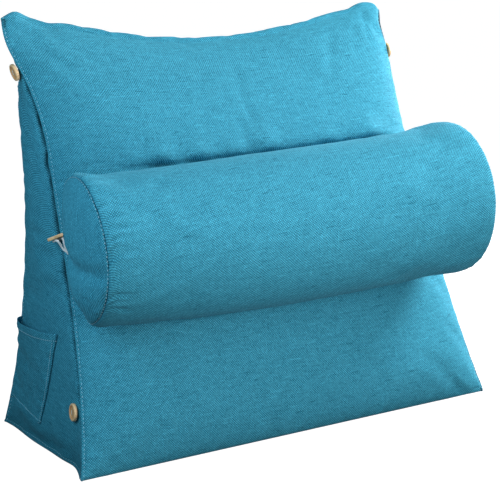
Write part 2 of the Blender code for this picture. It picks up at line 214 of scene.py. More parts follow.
@dataclass(frozen=True)
class WedgeForm:
    """Sizes of the filled wedge, in metres, and the rule of its surface."""

    base_width: float = 0.600
    ridge_width: float = 0.561
    depth: float = 0.234
    height: float = 0.508
    ridge_back: float = 0.111
    ridge_thick: float = 0.012
    side_draw_left: float = 0.023
    side_draw_right: float = 0.020
    back_draw: float = 0.016
    foot_draw: float = 0.009
    ridge_sag: float = 0.039
    ridge_round: float = 0.006
    front_crown: float = 0.052
    back_crown: float = 0.029
    side_crown: float = 0.010
    front_lower: float = 0.18
    even: Swell = Swell(2.0, 0.8)
    draw: Swell = Swell(2.0, 0.9)
    wide: Swell = Swell(3.06, 0.57)
    tall: Swell = Swell(2.4, 0.58)
    sag: Swell = Swell(2.0, 1.42)
    ridge: Swell = Swell(8.0, 0.5)
    side_shape: Swell = Swell(2.0, 1.8)
    ear_front: Bulge = Bulge(0.0120, 0.95, 0.075)
    neck_front: Bulge = Bulge(-0.0050, 0.74, 0.110)
    ear_back: Bulge = Bulge(-0.0110, 0.92, 0.080)
    neck_right: Bulge = Bulge(-0.0042, 0.95, 0.055)
    foot_left: tuple[Bulge, ...] = (
        Bulge(0.0030, -1.00, 0.12),
        Bulge(-0.0040, -0.62, 0.18),
        Bulge(0.0050, 0.25, 0.40),
    )
    ridge_lobes: tuple[Bulge, ...] = (
        Bulge(0.0060, -0.945, 0.040),
        Bulge(-0.0025, -0.800, 0.060),
        Bulge(0.0035, 0.900, 0.070),
        Bulge(-0.0070, 1.000, 0.020),
    )

    @property
    def lean(self) -> float:
        """Angle by which the slanted front leans back."""
        return math.atan2(self.ridge_back + self.depth / 2, self.height)

    def seam_y(self, side: int, up: Array) -> Array:
        """Depth of the straight front (-1) or back (1) seam at a share of the height."""
        return between((side * self.depth / 2, self.ridge_back + side * self.ridge_thick / 2), up)

    def deep_share(self, y: Array, up: Array) -> Array:
        """Share from the front seam, -1, to the back seam, 1, of a depth at a share of the height."""
        front, back = self.seam_y(-1, up), self.seam_y(1, up)
        return 2 * ((y - front) / (back - front)) - 1

    def point(self, across: Array, deep: Array, up: Array) -> Array:
        """Map shares of the filled block to points of the wedge.

        Args:
            across: -1 at the left side panel to 1 at the right one.
            deep: -1 at the front to 1 at the back.
            up: 0 at the base to 1 at the ridge.

        Returns:
            Points with a last axis of X, Y and Z.
        """
        across, deep, up = np.broadcast_arrays(across, deep, up)
        level = 2 * up - 1
        even_tall = self.even.at(level)
        side_full = self.even.at(deep)
        half = between((self.base_width, self.ridge_width), up) / 2
        side_draw = np.where(across < 0, self.side_draw_left, self.side_draw_right)
        half = half - side_draw * self.draw.at(level)
        crown = self.side_crown * self.side_shape.at(level) - self.foot_draw * (1 - up) ** 4
        half = half + side_full * crown
        to_front = (1 - deep) / 2
        to_back = (1 + deep) / 2
        ear = to_front * (self.ear_front.at(up) + self.neck_front.at(up)) + to_back * self.ear_back.at(up)
        foot = sum(lobe.at(deep) for lobe in self.foot_left) * (1 - up) ** 8
        half = half + np.where(across < 0, ear + foot, self.neck_right.at(up))

        wide = self.wide.at(across)
        front = self.front_crown * wide * self.tall.at(level + self.front_lower * (1 - level * level))
        back = self.back_crown * wide * even_tall - self.back_draw * (1 - level * level) * (1 - wide)
        y = to_front * (self.seam_y(-1, up) - front * math.cos(self.lean))
        y = y + to_back * (self.seam_y(1, up) + back)

        z = up * self.height + to_front * front * math.sin(self.lean)
        z = z + self.ridge_round * side_full * self.ridge.at(across) * up ** 12
        z = z - self.ridge_sag * self.sag.at(across) * up ** 2
        z = z + sum(lobe.at(across) for lobe in self.ridge_lobes) * up ** 24
        return np.stack([across * half, y, np.maximum(0.0, z)], axis=-1)

    def side_place(self, side: Side, y: float, z: float) -> tuple[Vector, Vector]:
        """Point of a side panel at a depth and a height, and its outward normal."""
        up = z / self.height
        deep = self.deep_share(y, up)
        step = 0.01

        def at(deep_share: float, up_share: float) -> Vector:
            """Point of the panel as a vector."""
            return Vector(self.point(float(side.value), deep_share, up_share))

        along = at(deep + step, up) - at(deep - step, up)
        upward = at(deep, up + step) - at(deep, up - step)
        outward = along.cross(upward).normalized()
        if outward.x * side.value < 0:
            outward.negate()
        return at(deep, up), outward


@dataclass(frozen=True)
class RollForm:
    """Sizes and place of the bolster, flatter where it leans on the wedge. Its own +Z runs to the right."""

    lean: float
    length: float = 0.511
    end_crown: float = 0.011
    radius_left: float = 0.0851
    radius_right: float = 0.0921
    belly: float = 0.0010
    shoulder: float = 0.0042
    shoulder_run: float = 0.018
    centre: Triple = (-0.0272, -0.105, 0.2681)
    yaw_deg: float = -4.67
    tilt_deg: float = 2.43
    sag: float = 0.0092
    front_share: Pair = (1.10, 1.02)
    back_share: Pair = (0.40, 0.90)
    flat_power: float = 3.2
    lumps: tuple[Lump, ...] = (
        Lump(0.0048, (1.0, 0.16), (190.0, 50.0)),
        Lump(0.0050, (0.0, 0.62), (180.0, 36.0)),
        Lump(0.0052, (1.0, 0.18), (345.0, 45.0)),
        Lump(0.0062, (-1.0, 0.09), (184.0, 30.0)),
        Lump(-0.0055, (-1.0, 0.20), (132.0, 26.0)),
        Lump(0.0012, (-1.0, 0.16), (20.0, 34.0)),
    )
    low_lobe: Bulge = Bulge(0.0060, 0.050, 0.026)
    disc_fold: Bulge = Bulge(-0.0050, 0.014, 0.009)
    full: Swell = Swell(4.0, 0.6)

    def matrix(self) -> Matrix:
        """Place of the bolster in the world."""
        turn = Matrix.Rotation(math.radians(self.yaw_deg), 4, "Z")
        turn @= Matrix.Rotation(math.pi / 2 - math.radians(self.tilt_deg), 4, "Y")
        return Matrix.Translation(self.centre) @ turn

    def radius(self, share: Array, turn: Array) -> Array:
        """Radius of the roll at a share along it, -1 to 1 from left to right, and a turn round it."""
        straight = between((self.radius_left, self.radius_right), (share + 1) / 2)
        return straight + self.belly * self.full.at(share) + sum(lump.at(share, turn) for lump in self.lumps)

    def away(self) -> Array:
        """Direction away from the wedge's front, across the roll, in its own frame."""
        off_front = Vector((0.0, -math.cos(self.lean), math.sin(self.lean)))
        away = self.matrix().to_3x3().transposed() @ off_front
        away.z = 0.0
        return np.array(away.normalized())

    def squash(self, local: Array, pressing: bool) -> Array:
        """Press points of the round roll flat against the front, or undo it, in the roll's own frame."""
        away = self.away()
        share = np.clip(local[..., 2] / (self.length / 2), -1.0, 1.0)
        proud = local @ away
        left = np.where(proud > 0, self.front_share[0], self.back_share[0])
        right = np.where(proud > 0, self.front_share[1], self.back_share[1])
        factor = between((left, right), (share + 1) / 2)
        aside = local @ np.array([-away[1], away[0], 0.0]) / self.radius_left
        aside = np.clip(aside, 0.0, 0.97)
        square = (1 - aside ** self.flat_power) ** (1 / self.flat_power) / np.sqrt(1 - aside * aside)
        factor = factor * np.where(proud > 0, 1.0, 1 + (square - 1) * (1 - share) / 2)
        change = factor - 1 if pressing else 1 / factor - 1
        return local + away * (proud * change)[..., None]

    def sagging(self, along: Array) -> Array:
        """How far the roll hangs lower than its ends, at a distance along it."""
        share = along / (self.length / 2)
        return self.sag * np.maximum(0.0, 1 - share * share)

    def world(self, local: Array) -> Array:
        """Carry points of the plain round roll, in its own frame, to the world."""
        place = np.array(self.matrix())
        found = self.squash(local, True) @ place[:3, :3].T + place[:3, 3]
        found[..., 2] -= self.sagging(local[..., 2])
        return found

    def local(self, world: Array) -> Array:
        """Carry world points to the frame of the plain round roll."""
        place = np.array(self.matrix().inverted())
        along = world @ place[2, :3] + place[2, 3]
        raised = world.copy()
        raised[..., 2] += self.sagging(along)
        return self.squash(raised @ place[:3, :3].T + place[:3, 3], False)

    def laid(self, radius: Array, turn: Array, height: Array) -> Array:
        """World points of the roll from a radius, a turn and a height along it."""
        return self.world(np.stack([radius * np.cos(turn), radius * np.sin(turn), height], axis=-1))

    def body(self, share: Array, turn: Array) -> Array:
        """Points of the round body, its shoulders drawn in at the rim seams."""
        from_rim = (1 - np.abs(share)) * self.length / 2
        radius = self.radius(share, turn) - self.shoulder * np.exp(-from_rim / self.shoulder_run * 2.2)
        return self.laid(radius, turn, share * self.length / 2)

    def disc(self, side: Side, inward: Array, turn: Array) -> Array:
        """Points of an end disc, inward 0 at its rim to 1 at its middle."""
        rim = self.radius(np.array(float(side.value)), turn) - self.shoulder
        share = 1 - inward
        low = rim * share * np.cos(turn)
        crown = self.end_crown * (1 - share ** 2.4)
        crown = crown + self.low_lobe.at(low) * (1 - share ** 6) + self.disc_fold.at(low) * (1 - share ** 12)
        return self.laid(rim * share, turn, side.value * (self.length / 2 + crown))


def running_length(points: Array, axis: int) -> Array:
    """Length of cloth along one axis of a grid of points, from 0 at its start."""
    steps = np.linalg.norm(np.diff(points, axis=axis), axis=-1)
    start = np.zeros_like(np.take(steps, [0], axis=axis))
    return np.concatenate([start, np.cumsum(steps, axis=axis)], axis=axis)


@dataclass(frozen=True)
class Grading:
    """Spacing of a panel's rows or columns: close at its seams, even between.

    Args:
        middle: Number of even steps between the close ones.
        low: Distances of the close rows from the start.
        high: Distances of the close rows from the end.
        closer: Where on the way the even rows stand closer together, as a share, and how much.
    """

    middle: int
    low: tuple[float, ...] = (0.0,)
    high: tuple[float, ...] = (0.0,)
    closer: Bulge = Bulge(0.0, 0.5, 1.0)

    @property
    def count(self) -> int:
        """Number of rows or columns."""
        return self.middle - 1 + len(self.low) + len(self.high)

    def places(self, total: float) -> Array:
        """Distances of all rows over a total length."""
        scale = min(1.0, total / (2.6 * max(self.low[-1] + self.high[-1], 1e-9)))
        low = np.array(self.low) * scale
        high = total - np.array(self.high)[::-1] * scale
        fine = np.linspace(0, 1, 801)
        crowd = np.cumsum(1 + self.closer.at(fine))
        crowd = (crowd - crowd[0]) / (crowd[-1] - crowd[0])
        shares = np.interp(np.linspace(0, 1, self.middle + 1), crowd, fine)[1:-1]
        return np.concatenate([low, low[-1] + shares * (high[0] - low[-1]), high])

    def sparse(self, stride: int) -> Array:
        """Indices of the rows that a coarser copy keeps."""
        first = [index for index in (0, 4, 8) if index < len(self.low)]
        last = [self.count - 1 - index for index in (8, 4, 0) if index < len(self.high)]
        inner = range(first[-1] + stride, last[0] - stride // 2, stride)
        return np.array(first + list(inner) + last)


SEAM_ROWS = (0.0, 0.0008, 0.0016, 0.0026, 0.0040, 0.0050, 0.0066, 0.0092, 0.0130)
FRONT_STITCH_ROW = 4
BACK_STITCH_ROW = 5


def spread_grid(chart: Chart, across: Grading, upward: Grading, low: float, high: float,
                foot: float, top: float, passes: int = 5) -> Arrays:
    """Find the shares at which a panel's grid is spaced as its gradings say.

    Args:
        chart: Maps two arrays of shares to points.
        across: Spacing of the columns.
        upward: Spacing of the rows.
        low, high: Range of the first share.
        foot, top: Range of the second share.
        passes: How often rows and columns are evened out in turn.

    Returns:
        The first and the second share, both rows by columns.
    """
    ease = np.sin(np.linspace(-math.pi / 2, math.pi / 2, across.count)) / 2 + 0.5
    rise = np.sin(np.linspace(-math.pi / 2, math.pi / 2, upward.count)) / 2 + 0.5
    first, second = np.meshgrid(low + (high - low) * ease, foot + (top - foot) * rise)
    for _ in range(passes):
        for axis, grading in ((1, across), (0, upward)):
            run = running_length(chart(first, second), axis)
            grids = []
            for values in (first, second):
                lines, lengths = (values, run) if axis == 1 else (values.T, run.T)
                moved = np.stack([np.interp(grading.places(length[-1]), length, line)
                                  for line, length in zip(lines, lengths)])
                grids.append(moved if axis == 1 else moved.T)
            first, second = grids
    return first, second


@dataclass
class Panel:
    """One cut piece of cloth as a grid of points, rows by columns.

    Args:
        name: Name of the panel.
        points: Where the cloth lies, before its seams and creases are pressed in.
        across: Spacing of its columns.
        upward: Spacing of its rows.
    """

    name: str
    points: Array
    across: Grading
    upward: Grading
    lift: Array = field(init=False)
    # Share of painted shade at each point, which darkens the cloth's colour.
    hollow: Array = field(init=False)
    weave: Array = field(init=False)

    def __post_init__(self) -> None:
        """Measure the cloth and start with no relief."""
        self.lift = np.zeros(self.points.shape[:2])
        self.hollow = np.zeros(self.points.shape[:2])
        along, up = self.measure()
        middle = along.shape[1] // 2
        self.weave = np.stack([along - along[:, middle:middle + 1], up], axis=-1)

    def measure(self) -> Arrays:
        """Distance of every point along its row and up its column."""
        return running_length(self.points, 1), running_length(self.points, 0)

    def from_edge(self, edge: Edge) -> Arrays:
        """Distance of every point from an edge, and its place along that edge."""
        along, up = self.measure()
        if edge is Edge.START:
            return along, up
        if edge is Edge.END:
            return along[:, -1:] - along, up
        if edge is Edge.FOOT:
            return up, along
        return up[-1:] - up, along

    def darken(self, shade: Array) -> None:
        """Note shade painted into the cloth's colour in a groove or a fold, as a share from 0 to 1."""
        self.hollow = np.maximum(self.hollow, np.clip(shade, 0.0, 1.0))


class Waves:
    """Smooth seeded ripple along a line: a sum of sines of nearby wavelengths."""

    def __init__(self, seed: int, wavelength: float, count: int = 9) -> None:
        """Draw the sines.

        Args:
            seed: Seed of the draw.
            wavelength: Typical length of one ripple.
            count: Number of sines.
        """
        draw = np.random.default_rng(seed)
        self.lengths = wavelength * np.exp(draw.uniform(-0.45, 0.55, count))
        self.phases = draw.uniform(0, 2 * math.pi, count)
        self.sizes = draw.uniform(0.5, 1.0, count)
        self.sizes /= np.linalg.norm(self.sizes) / math.sqrt(2)

    def at(self, along: Array) -> Array:
        """Height of the ripple, mostly between -1 and 1."""
        turns = np.asarray(along)[..., None] / self.lengths * 2 * math.pi + self.phases
        return (np.sin(turns) * self.sizes).sum(axis=-1) / math.sqrt(2)


@dataclass(frozen=True)
class SeamRelief:
    """Relief that one sewn edge presses into a panel.

    Args:
        groove: Depth of the groove at the seam.
        welt: Height of the doubled cloth between the seam and its row of stitches.
        stitch_at: Distance of the row of stitches, 0 for none.
        dent: Depth to which the stitches pull the cloth.
        pucker: Height of the small gathers beside the seam.
        pucker_length: Length of one gather along the seam.
        reach: How far the gathers run into the panel.
        groove_at: Distance of the groove's middle from the seam.
        groove_width: Half width of the groove.
        shade: Strength of the shade painted into the cloth's colour down in the groove, 0 to 1.
        dent_width: Half width of the dent of a row of stitches.
        gathers_from: Where the gathers begin beside a seam without a row of stitches.
        wander: Share by which the groove's middle wanders, and over what length.
        patchy: Share by which that painted shade varies, and over what length.
    """

    groove: float = 0.0013
    welt: float = 0.0
    stitch_at: float = 0.0
    dent: float = 0.0
    pucker: float = 0.0006
    pucker_length: float = 0.013
    reach: float = 0.012
    groove_at: float = 0.0
    groove_width: float = 0.0012
    shade: float = 0.0
    dent_width: float = 0.0011
    gathers_from: float = 0.0016
    wander: Pair = (0.35, 0.045)
    patchy: Pair = (0.15, 0.030)

    def press(self, panel: Panel, edge: Edge, seed: int) -> None:
        """Add this relief to a panel along one of its edges."""
        away, along = panel.from_edge(edge)
        wandering, length = self.wander
        middle = self.groove_at * (1 + wandering * Waves(seed + 4, length).at(along))
        deep = dome(away - middle, self.groove_width)
        panel.lift -= self.groove * deep
        share, length = self.patchy
        # Painted shade in the groove, patchy along the seam.
        panel.darken(self.shade * (1 - share + share * Waves(seed + 3, length).at(along)) * deep)
        start = self.gathers_from
        if self.stitch_at:
            inside = np.clip(away / self.stitch_at, 0.0, 1.0)
            panel.lift += self.welt * np.sin(math.pi * inside) ** 0.8 * (away < self.stitch_at)
            panel.lift -= self.dent * dome(away - self.stitch_at, self.dent_width)
            start = self.stitch_at
        past = np.maximum(0.0, away - start * 0.5)
        fade = (1 - np.exp(-past / 0.003)) * np.exp(-past / self.reach)
        wander = Waves(seed, self.pucker_length).at(along)
        wander = wander + 0.5 * Waves(seed + 1, self.pucker_length * 2.7).at(along)
        uneven = np.clip(0.75 + 0.6 * Waves(seed + 2, self.pucker_length * 8).at(along), 0.1, 1.6)
        panel.lift += self.pucker * uneven * wander * fade


@dataclass(frozen=True)
class Crease:
    """A soft trough with low ridges beside it, placed on a panel.

    Args:
        start: Where it begins: distance from the panel's start edge and from its foot.
        end: Where it ends.
        width: Half width of the trough.
        depth: Depth of the trough.
        bow: How far its middle is bent aside.
        ends: Depth that is left at its ends, as a share.
        ridge: Height of the ridges beside it, as a share of its depth.
    """

    start: Pair
    end: Pair
    width: float
    depth: float
    bow: float = 0.0
    ends: float = 0.35
    ridge: float = 0.35

    def press(self, panel: Panel) -> None:
        """Add the crease to a panel's relief."""
        along, up = panel.measure()
        run = np.array(self.end) - np.array(self.start)
        length = np.linalg.norm(run)
        run = run / length
        away = np.stack([along - self.start[0], up - self.start[1]], axis=-1)
        share = (away @ run) / length
        aside = away @ np.array([-run[1], run[0]]) - self.bow * np.maximum(0.0, 4 * share * (1 - share))
        past = np.maximum(0.0, np.abs(share - 0.5) - 0.5) * length
        fade = self.ends + (1 - self.ends) * np.clip(4 * share * (1 - share), 0, 1)
        fade = fade * dome(past, 1.5 * self.width)
        trough = dome(aside, self.width)
        ridges = dome(np.abs(aside) - 2.0 * self.width, self.width)
        panel.lift -= self.depth * fade * (trough - self.ridge * ridges)


@dataclass(frozen=True)
class Overhang:
    """A fold where the cloth above swells out over the cloth below it, with shade painted into the colour
    just below the fold.

    Args:
        start: Left end of the fold: distance from the panel's start edge and from its foot.
        end: Right end of the fold.
        fade: Length over which it dies away at its ends.
        over: How far the cloth above swells out.
        swell: How far up that swelling runs.
        rounding: How softly the cloth rolls over the fold.
        under: How far the cloth below lies back.
        drop: How far down it does so.
        shade: Strength of the shadow painted into the cloth's colour in the fold, 0 to 1.
        shade_reach: How far below the fold that painted shadow reaches.
        edge: How sharply the upper cloth ends.
    """

    start: Pair
    end: Pair
    fade: float = 0.045
    over: float = 0.0066
    swell: float = 0.026
    rounding: float = 0.0045
    under: float = 0.0030
    drop: float = 0.030
    shade: float = 0.45
    shade_reach: float = 0.006
    edge: float = 0.0007

    def press(self, panel: Panel) -> None:
        """Add the fold to a panel's relief."""
        along, up = panel.measure()
        share = (along - self.start[0]) / (self.end[0] - self.start[0])
        line = between((self.start[1], self.end[1]), share) + self.edge * Waves(71, 0.050).at(along)
        inside = np.minimum(along - self.start[0], self.end[0] - along) / self.fade
        weight = np.clip(inside + 0.5, 0.0, 1.0) * (1 + 0.25 * Waves(72, 0.060).at(along))
        past = up - line
        below = 1 - soft_step(past, self.edge)
        rounding = 1 - np.exp(-np.maximum(past, 0.0) / self.rounding)
        swelling = self.over * dome(past, self.swell) * rounding
        panel.lift += weight * (swelling - self.under * dome(past, self.drop) * below)
        # Painted shadow under the fold.
        panel.darken(self.shade * weight * below * dome(past, self.shade_reach))


def smooth_weights(knots: Array, places: Array) -> Array:
    """Matrix that carries values at the knots to other places by a smooth cubic."""
    count = len(knots)
    slopes = np.zeros((count, count))
    for knot in range(count):
        low, high = max(knot - 1, 0), min(knot + 1, count - 1)
        slopes[knot, high] += 1 / (knots[high] - knots[low])
        slopes[knot, low] -= 1 / (knots[high] - knots[low])
    cell = np.clip(np.searchsorted(knots, places, side="right") - 1, 0, count - 2)
    step = (knots[cell + 1] - knots[cell])[:, None]
    share = (places[:, None] - knots[cell][:, None]) / step
    whole = np.eye(count)
    near = (2 * share ** 3 - 3 * share ** 2 + 1) * whole[cell]
    far = (3 * share ** 2 - 2 * share ** 3) * whole[cell + 1]
    near_slope = (share ** 3 - 2 * share ** 2 + share) * slopes[cell]
    far_slope = (share ** 3 - share ** 2) * slopes[cell + 1]
    return near + far + step * (near_slope + far_slope)


class SewnCloth:
    """Panels joined where their edges meet, as one closed mesh."""

    def __init__(self, name: str, panels: Sequence[Panel], picks: Sequence[Arrays] = ()) -> None:
        """Join the panels.

        Args:
            name: Name of the mesh.
            panels: The cloth panels, whose shared edges have the same points.
            picks: Rows and columns to keep of each panel, for a coarser copy.
        """
        self.name = name
        self.panels = list(panels)
        whole = [tuple(np.arange(size) for size in panel.points.shape[:2]) for panel in panels]
        self.picks = list(picks or whole)

        def picked(values: str) -> list[Array]:
            """The kept rows and columns of one of the panels' arrays."""
            return [getattr(panel, values)[np.ix_(*pick)] for panel, pick in zip(self.panels, self.picks)]

        grids = picked("points")
        flat = np.concatenate([grid.reshape(-1, 3) for grid in grids])
        keys = np.round(flat * 1e6).astype(np.int64)
        _, kept, index = np.unique(keys, axis=0, return_index=True, return_inverse=True)
        self.places = flat[kept]
        lifts, painted_shades = (np.concatenate([part.ravel() for part in picked(values)])
                          for values in ("lift", "hollow"))
        self.lift = lifts[kept]
        self.hollow = np.zeros(len(kept))
        np.maximum.at(self.hollow, index.ravel(), painted_shades)
        ends = np.cumsum([grid[..., 0].size for grid in grids])[:-1]
        self.indices = [part.reshape(grid.shape[:2])
                        for part, grid in zip(np.split(index.ravel(), ends), grids)]
        self.mesh = self._join()

    def _join(self) -> Mesh:
        """Make the mesh with its faces outwards and a UV map that follows the weave."""
        faces: list[list[int]] = []
        weave: list[Pair] = []
        for panel, (rows, columns), index in zip(self.panels, self.picks, self.indices):
            uv = panel.weave[np.ix_(rows, columns)]
            for row in range(index.shape[0] - 1):
                for column in range(index.shape[1] - 1):
                    ring = ((row, column), (row, column + 1), (row + 1, column + 1), (row + 1, column))
                    face: list[int] = []
                    corners: list[Pair] = []
                    for node in ring:
                        if int(index[node]) not in face:
                            face.append(int(index[node]))
                            corners.append(tuple(uv[node]))
                    if len(face) > 2:
                        faces.append(face)
                        weave.extend(corners)
        mesh = new_mesh(self.name, self.places.tolist(), [], faces)
        lay_weave(mesh, weave)
        # Painted shade: a point attribute that darkens the cloth's colour in grooves, folds and along shaded
        # edges.
        shade = mesh.attributes.new("hollow", "FLOAT", "POINT")
        shade.data.foreach_set("value", self.hollow.astype(np.float32))
        turn_outwards(mesh)
        return mesh

    def set_places(self, places: Array) -> None:
        """Move every point of the mesh."""
        self.places = places
        self.mesh.vertices.foreach_set("co", places.astype(np.float32).ravel())
        self.mesh.update()

    def normals(self) -> Array:
        """Outward normal at every point of the mesh."""
        found = np.zeros(len(self.mesh.vertices) * 3, dtype=np.float32)
        self.mesh.vertex_normals.foreach_get("vector", found)
        return found.reshape(-1, 3).astype(float)

    def raise_relief(self) -> None:
        """Move every point out by its panel's relief."""
        self.set_places(self.places + self.normals() * self.lift[:, None])

    def line(self, panel: int, row: int | slice, column: int | slice, off: float) -> Arrays:
        """Points and normals along a row or a column of a panel, a little off the cloth."""
        index = self.indices[panel][row, column]
        outward = self.normals()[index]
        return self.places[index] + outward * off, outward


@dataclass(frozen=True)
class Slackening:
    """Cloth simulation that lets a stuffed cover settle between its seams.

    Args:
        pressure: Pressure of the filling.
        slack: Share by which the cloth is larger than its form.
        frames: Number of frames it runs.
        stride: How many fine rows one coarse row stands for.
        cap: Greatest move of a point that is kept.
        smooth_passes: Rounds of smoothing that find the broad swelling, which is taken away.
        bending: Stiffness of the cloth in bending.
        stretching: Stiffness of the cloth in stretching and pressing together, and its damping.
        shearing: Stiffness of the cloth in shear.
        weight: Mass of each point.
    """

    pressure: float = 4.0
    slack: float = 0.02
    frames: int = 20
    stride: int = 3
    cap: float = 0.006
    smooth_passes: int = 14
    bending: float = 0.6
    stretching: Pair = (25.0, 12.0)
    shearing: float = 12.0
    weight: float = 0.25

    def settle(self, panels: Sequence[Panel]) -> None:
        """Run the simulation on a coarse copy and add its folds to the fine panels."""
        picks = [(panel.upward.sparse(self.stride), panel.across.sparse(max(2, self.stride - 1)))
                 for panel in panels]
        coarse = SewnCloth("slack_cover", panels, picks)
        rest = coarse.places.copy()
        moved = self._simulate(coarse)
        for panel, (rows, columns), index in zip(panels, picks, coarse.indices):
            fold = moved[index] - rest[index]
            fold -= self._broad(fold)
            size = np.linalg.norm(fold, axis=-1, keepdims=True)
            fold *= np.tanh(size / self.cap) * self.cap / np.maximum(size, 1e-9)
            along, up = panel.measure()
            along, up = along.mean(axis=0), up.mean(axis=1)
            to_rows = smooth_weights(up[rows], up)
            to_columns = smooth_weights(along[columns], along)
            panel.points = panel.points + np.einsum("ri,ijk,cj->rck", to_rows, fold, to_columns)

    def _broad(self, fold: Array) -> Array:
        """The broad part of a field of moves, found by smoothing it."""
        broad = fold.copy()
        for _ in range(self.smooth_passes):
            padded = np.pad(broad, ((1, 1), (1, 1), (0, 0)), mode="edge")
            around = padded[:-2, 1:-1] + padded[2:, 1:-1] + padded[1:-1, :-2] + padded[1:-1, 2:]
            inner = (broad + around) / 5
            inner[0], inner[-1], inner[:, 0], inner[:, -1] = 0, 0, 0, 0
            broad = inner
        return broad

    def _simulate(self, coarse: SewnCloth) -> Array:
        """Inflate the coarse cover with its seams held, and return where its points end."""
        cover = put("slack_cover", coarse.mesh)
        held = set()
        for index in coarse.indices:
            for edge in (index[0], index[-1], index[:, 0], index[:, -1]):
                held.update(int(point) for point in edge)
        pins = cover.vertex_groups.new(name="seams")
        pins.add(sorted(held), 1.0, "REPLACE")
        cloth = cover.modifiers.new("Slack cloth", "CLOTH")
        stiffness, damping = self.stretching
        settings = {
            "quality": 6, "mass": self.weight, "tension_stiffness": stiffness,
            "tension_damping": damping, "compression_stiffness": stiffness,
            "compression_damping": damping, "shear_stiffness": self.shearing,
            "bending_stiffness": self.bending, "use_pressure": True,
            "uniform_pressure_force": self.pressure, "shrink_min": -self.slack,
            "vertex_group_mass": "seams",
        }
        for name, value in settings.items():
            setattr(cloth.settings, name, value)
        cloth.settings.effector_weights.gravity = 0.0
        cloth.collision_settings.use_collision = False
        scene = bpy.context.scene
        for number in range(1, self.frames + 1):
            scene.frame_set(number)
        ready = cover.evaluated_get(bpy.context.evaluated_depsgraph_get()).to_mesh()
        found = np.zeros(len(ready.vertices) * 3, dtype=np.float32)
        ready.vertices.foreach_get("co", found)
        scene.frame_set(1)
        bpy.data.objects.remove(cover, do_unlink=True)
        return found.reshape(-1, 3).astype(float)


class Graph:
    """Short way to add nodes to a tree and to link them."""

    def __init__(self, tree: Tree) -> None:
        """Work on one tree."""
        self.tree = tree

    def add(self, kind: str, feeds: Feeds | None = None, **settings: object) -> Node:
        """Add a node, set its properties and feed its sockets."""
        node = self.tree.nodes.new(kind)
        for name, value in settings.items():
            setattr(node, name, value)
        self.dress(node, feeds or {})
        return node

    def dress(self, node: Node, feeds: Feeds) -> None:
        """Feed several sockets of a node."""
        for socket, value in feeds.items():
            self.feed(node.inputs[socket], value)

    def feed(self, socket: Socket, value: object) -> None:
        """Link a socket to another, or set its value."""
        if isinstance(value, Socket):
            self.tree.links.new(value, socket)
        else:
            socket.default_value = value

    def first(self, kind: str, feeds: Feeds | None = None, **settings: object) -> Socket:
        """Add a node and return its first output."""
        return self.add(kind, feeds, **settings).outputs[0]

    def math(self, operation: str, *values: object) -> Socket:
        """Add a Math node and return its output."""
        return self.first("ShaderNodeMath", dict(enumerate(values)), operation=operation)

    def times(self, *values: object) -> Socket:
        """Multiply two values, and add a third if there is one."""
        return self.math("MULTIPLY_ADD" if len(values) > 2 else "MULTIPLY", *values)

    def scale(self, vector: object, share: object) -> Socket:
        """Scale a vector or a colour."""
        return self.first("ShaderNodeVectorMath", {0: vector, "Scale": share}, operation="SCALE")

    def split(self, vector: object) -> Sequence[Socket]:
        """The three numbers of a vector."""
        return self.add("ShaderNodeSeparateXYZ", {0: vector}).outputs

    def join(self, x: object, y: object, z: object = 0.0) -> Socket:
        """Combine three numbers into a vector."""
        return self.first("ShaderNodeCombineXYZ", {0: x, 1: y, 2: z})

    def noise(self, vector: object, scale: float, detail: float = 2.0, roughness: float = 0.5) -> Socket:
        """Add a 3D Noise Texture and return its value."""
        feeds = {"Vector": vector, "Scale": scale, "Detail": detail, "Roughness": roughness}
        return self.first("ShaderNodeTexNoise", feeds, noise_dimensions="3D")

    def remap(self, value: object, low: float, high: float,
              to_low: float = 0.0, to_high: float = 1.0) -> Socket:
        """Map a range of values to another, clamped and smoothed at its ends."""
        feeds = dict(enumerate((value, low, high, to_low, to_high)))
        return self.first("ShaderNodeMapRange", feeds, interpolation_type="SMOOTHSTEP")

    def blend(self, share: object, first: object, second: object, kind: str = "MIX") -> Socket:
        """Mix two colours by a share."""
        feeds = {0: share, 6: first, 7: second}
        return self.add("ShaderNodeMix", feeds, data_type="RGBA", blend_type=kind).outputs[2]


FLOAT, VECTOR, COLOUR = "NodeSocketFloat", "NodeSocketVector", "NodeSocketColor"


def new_group(name: str, inputs: dict[str, object],
              outputs: Sequence[str]) -> tuple[Graph, Sequence, Node]:
    """Start a shader node group.

    Args:
        name: Name of the group.
        inputs: Name of each input, with its default value, or else its socket's type.
        outputs: Names of the outputs, of which Colour is a colour and each other one a value.

    Returns:
        The group's graph, the outputs of its input node, and its output node.
    """
    tree = bpy.data.node_groups.new(name, "ShaderNodeTree")
    for label, value in inputs.items():
        kind = value if isinstance(value, str) else FLOAT
        socket = tree.interface.new_socket(label, in_out="INPUT", socket_type=kind)
        if kind is FLOAT:
            socket.default_value = value
    for label in outputs:
        tree.interface.new_socket(label, in_out="OUTPUT", socket_type=COLOUR if label == "Colour" else FLOAT)
    graph = Graph(tree)
    return graph, graph.add("NodeGroupInput").outputs, graph.add("NodeGroupOutput")


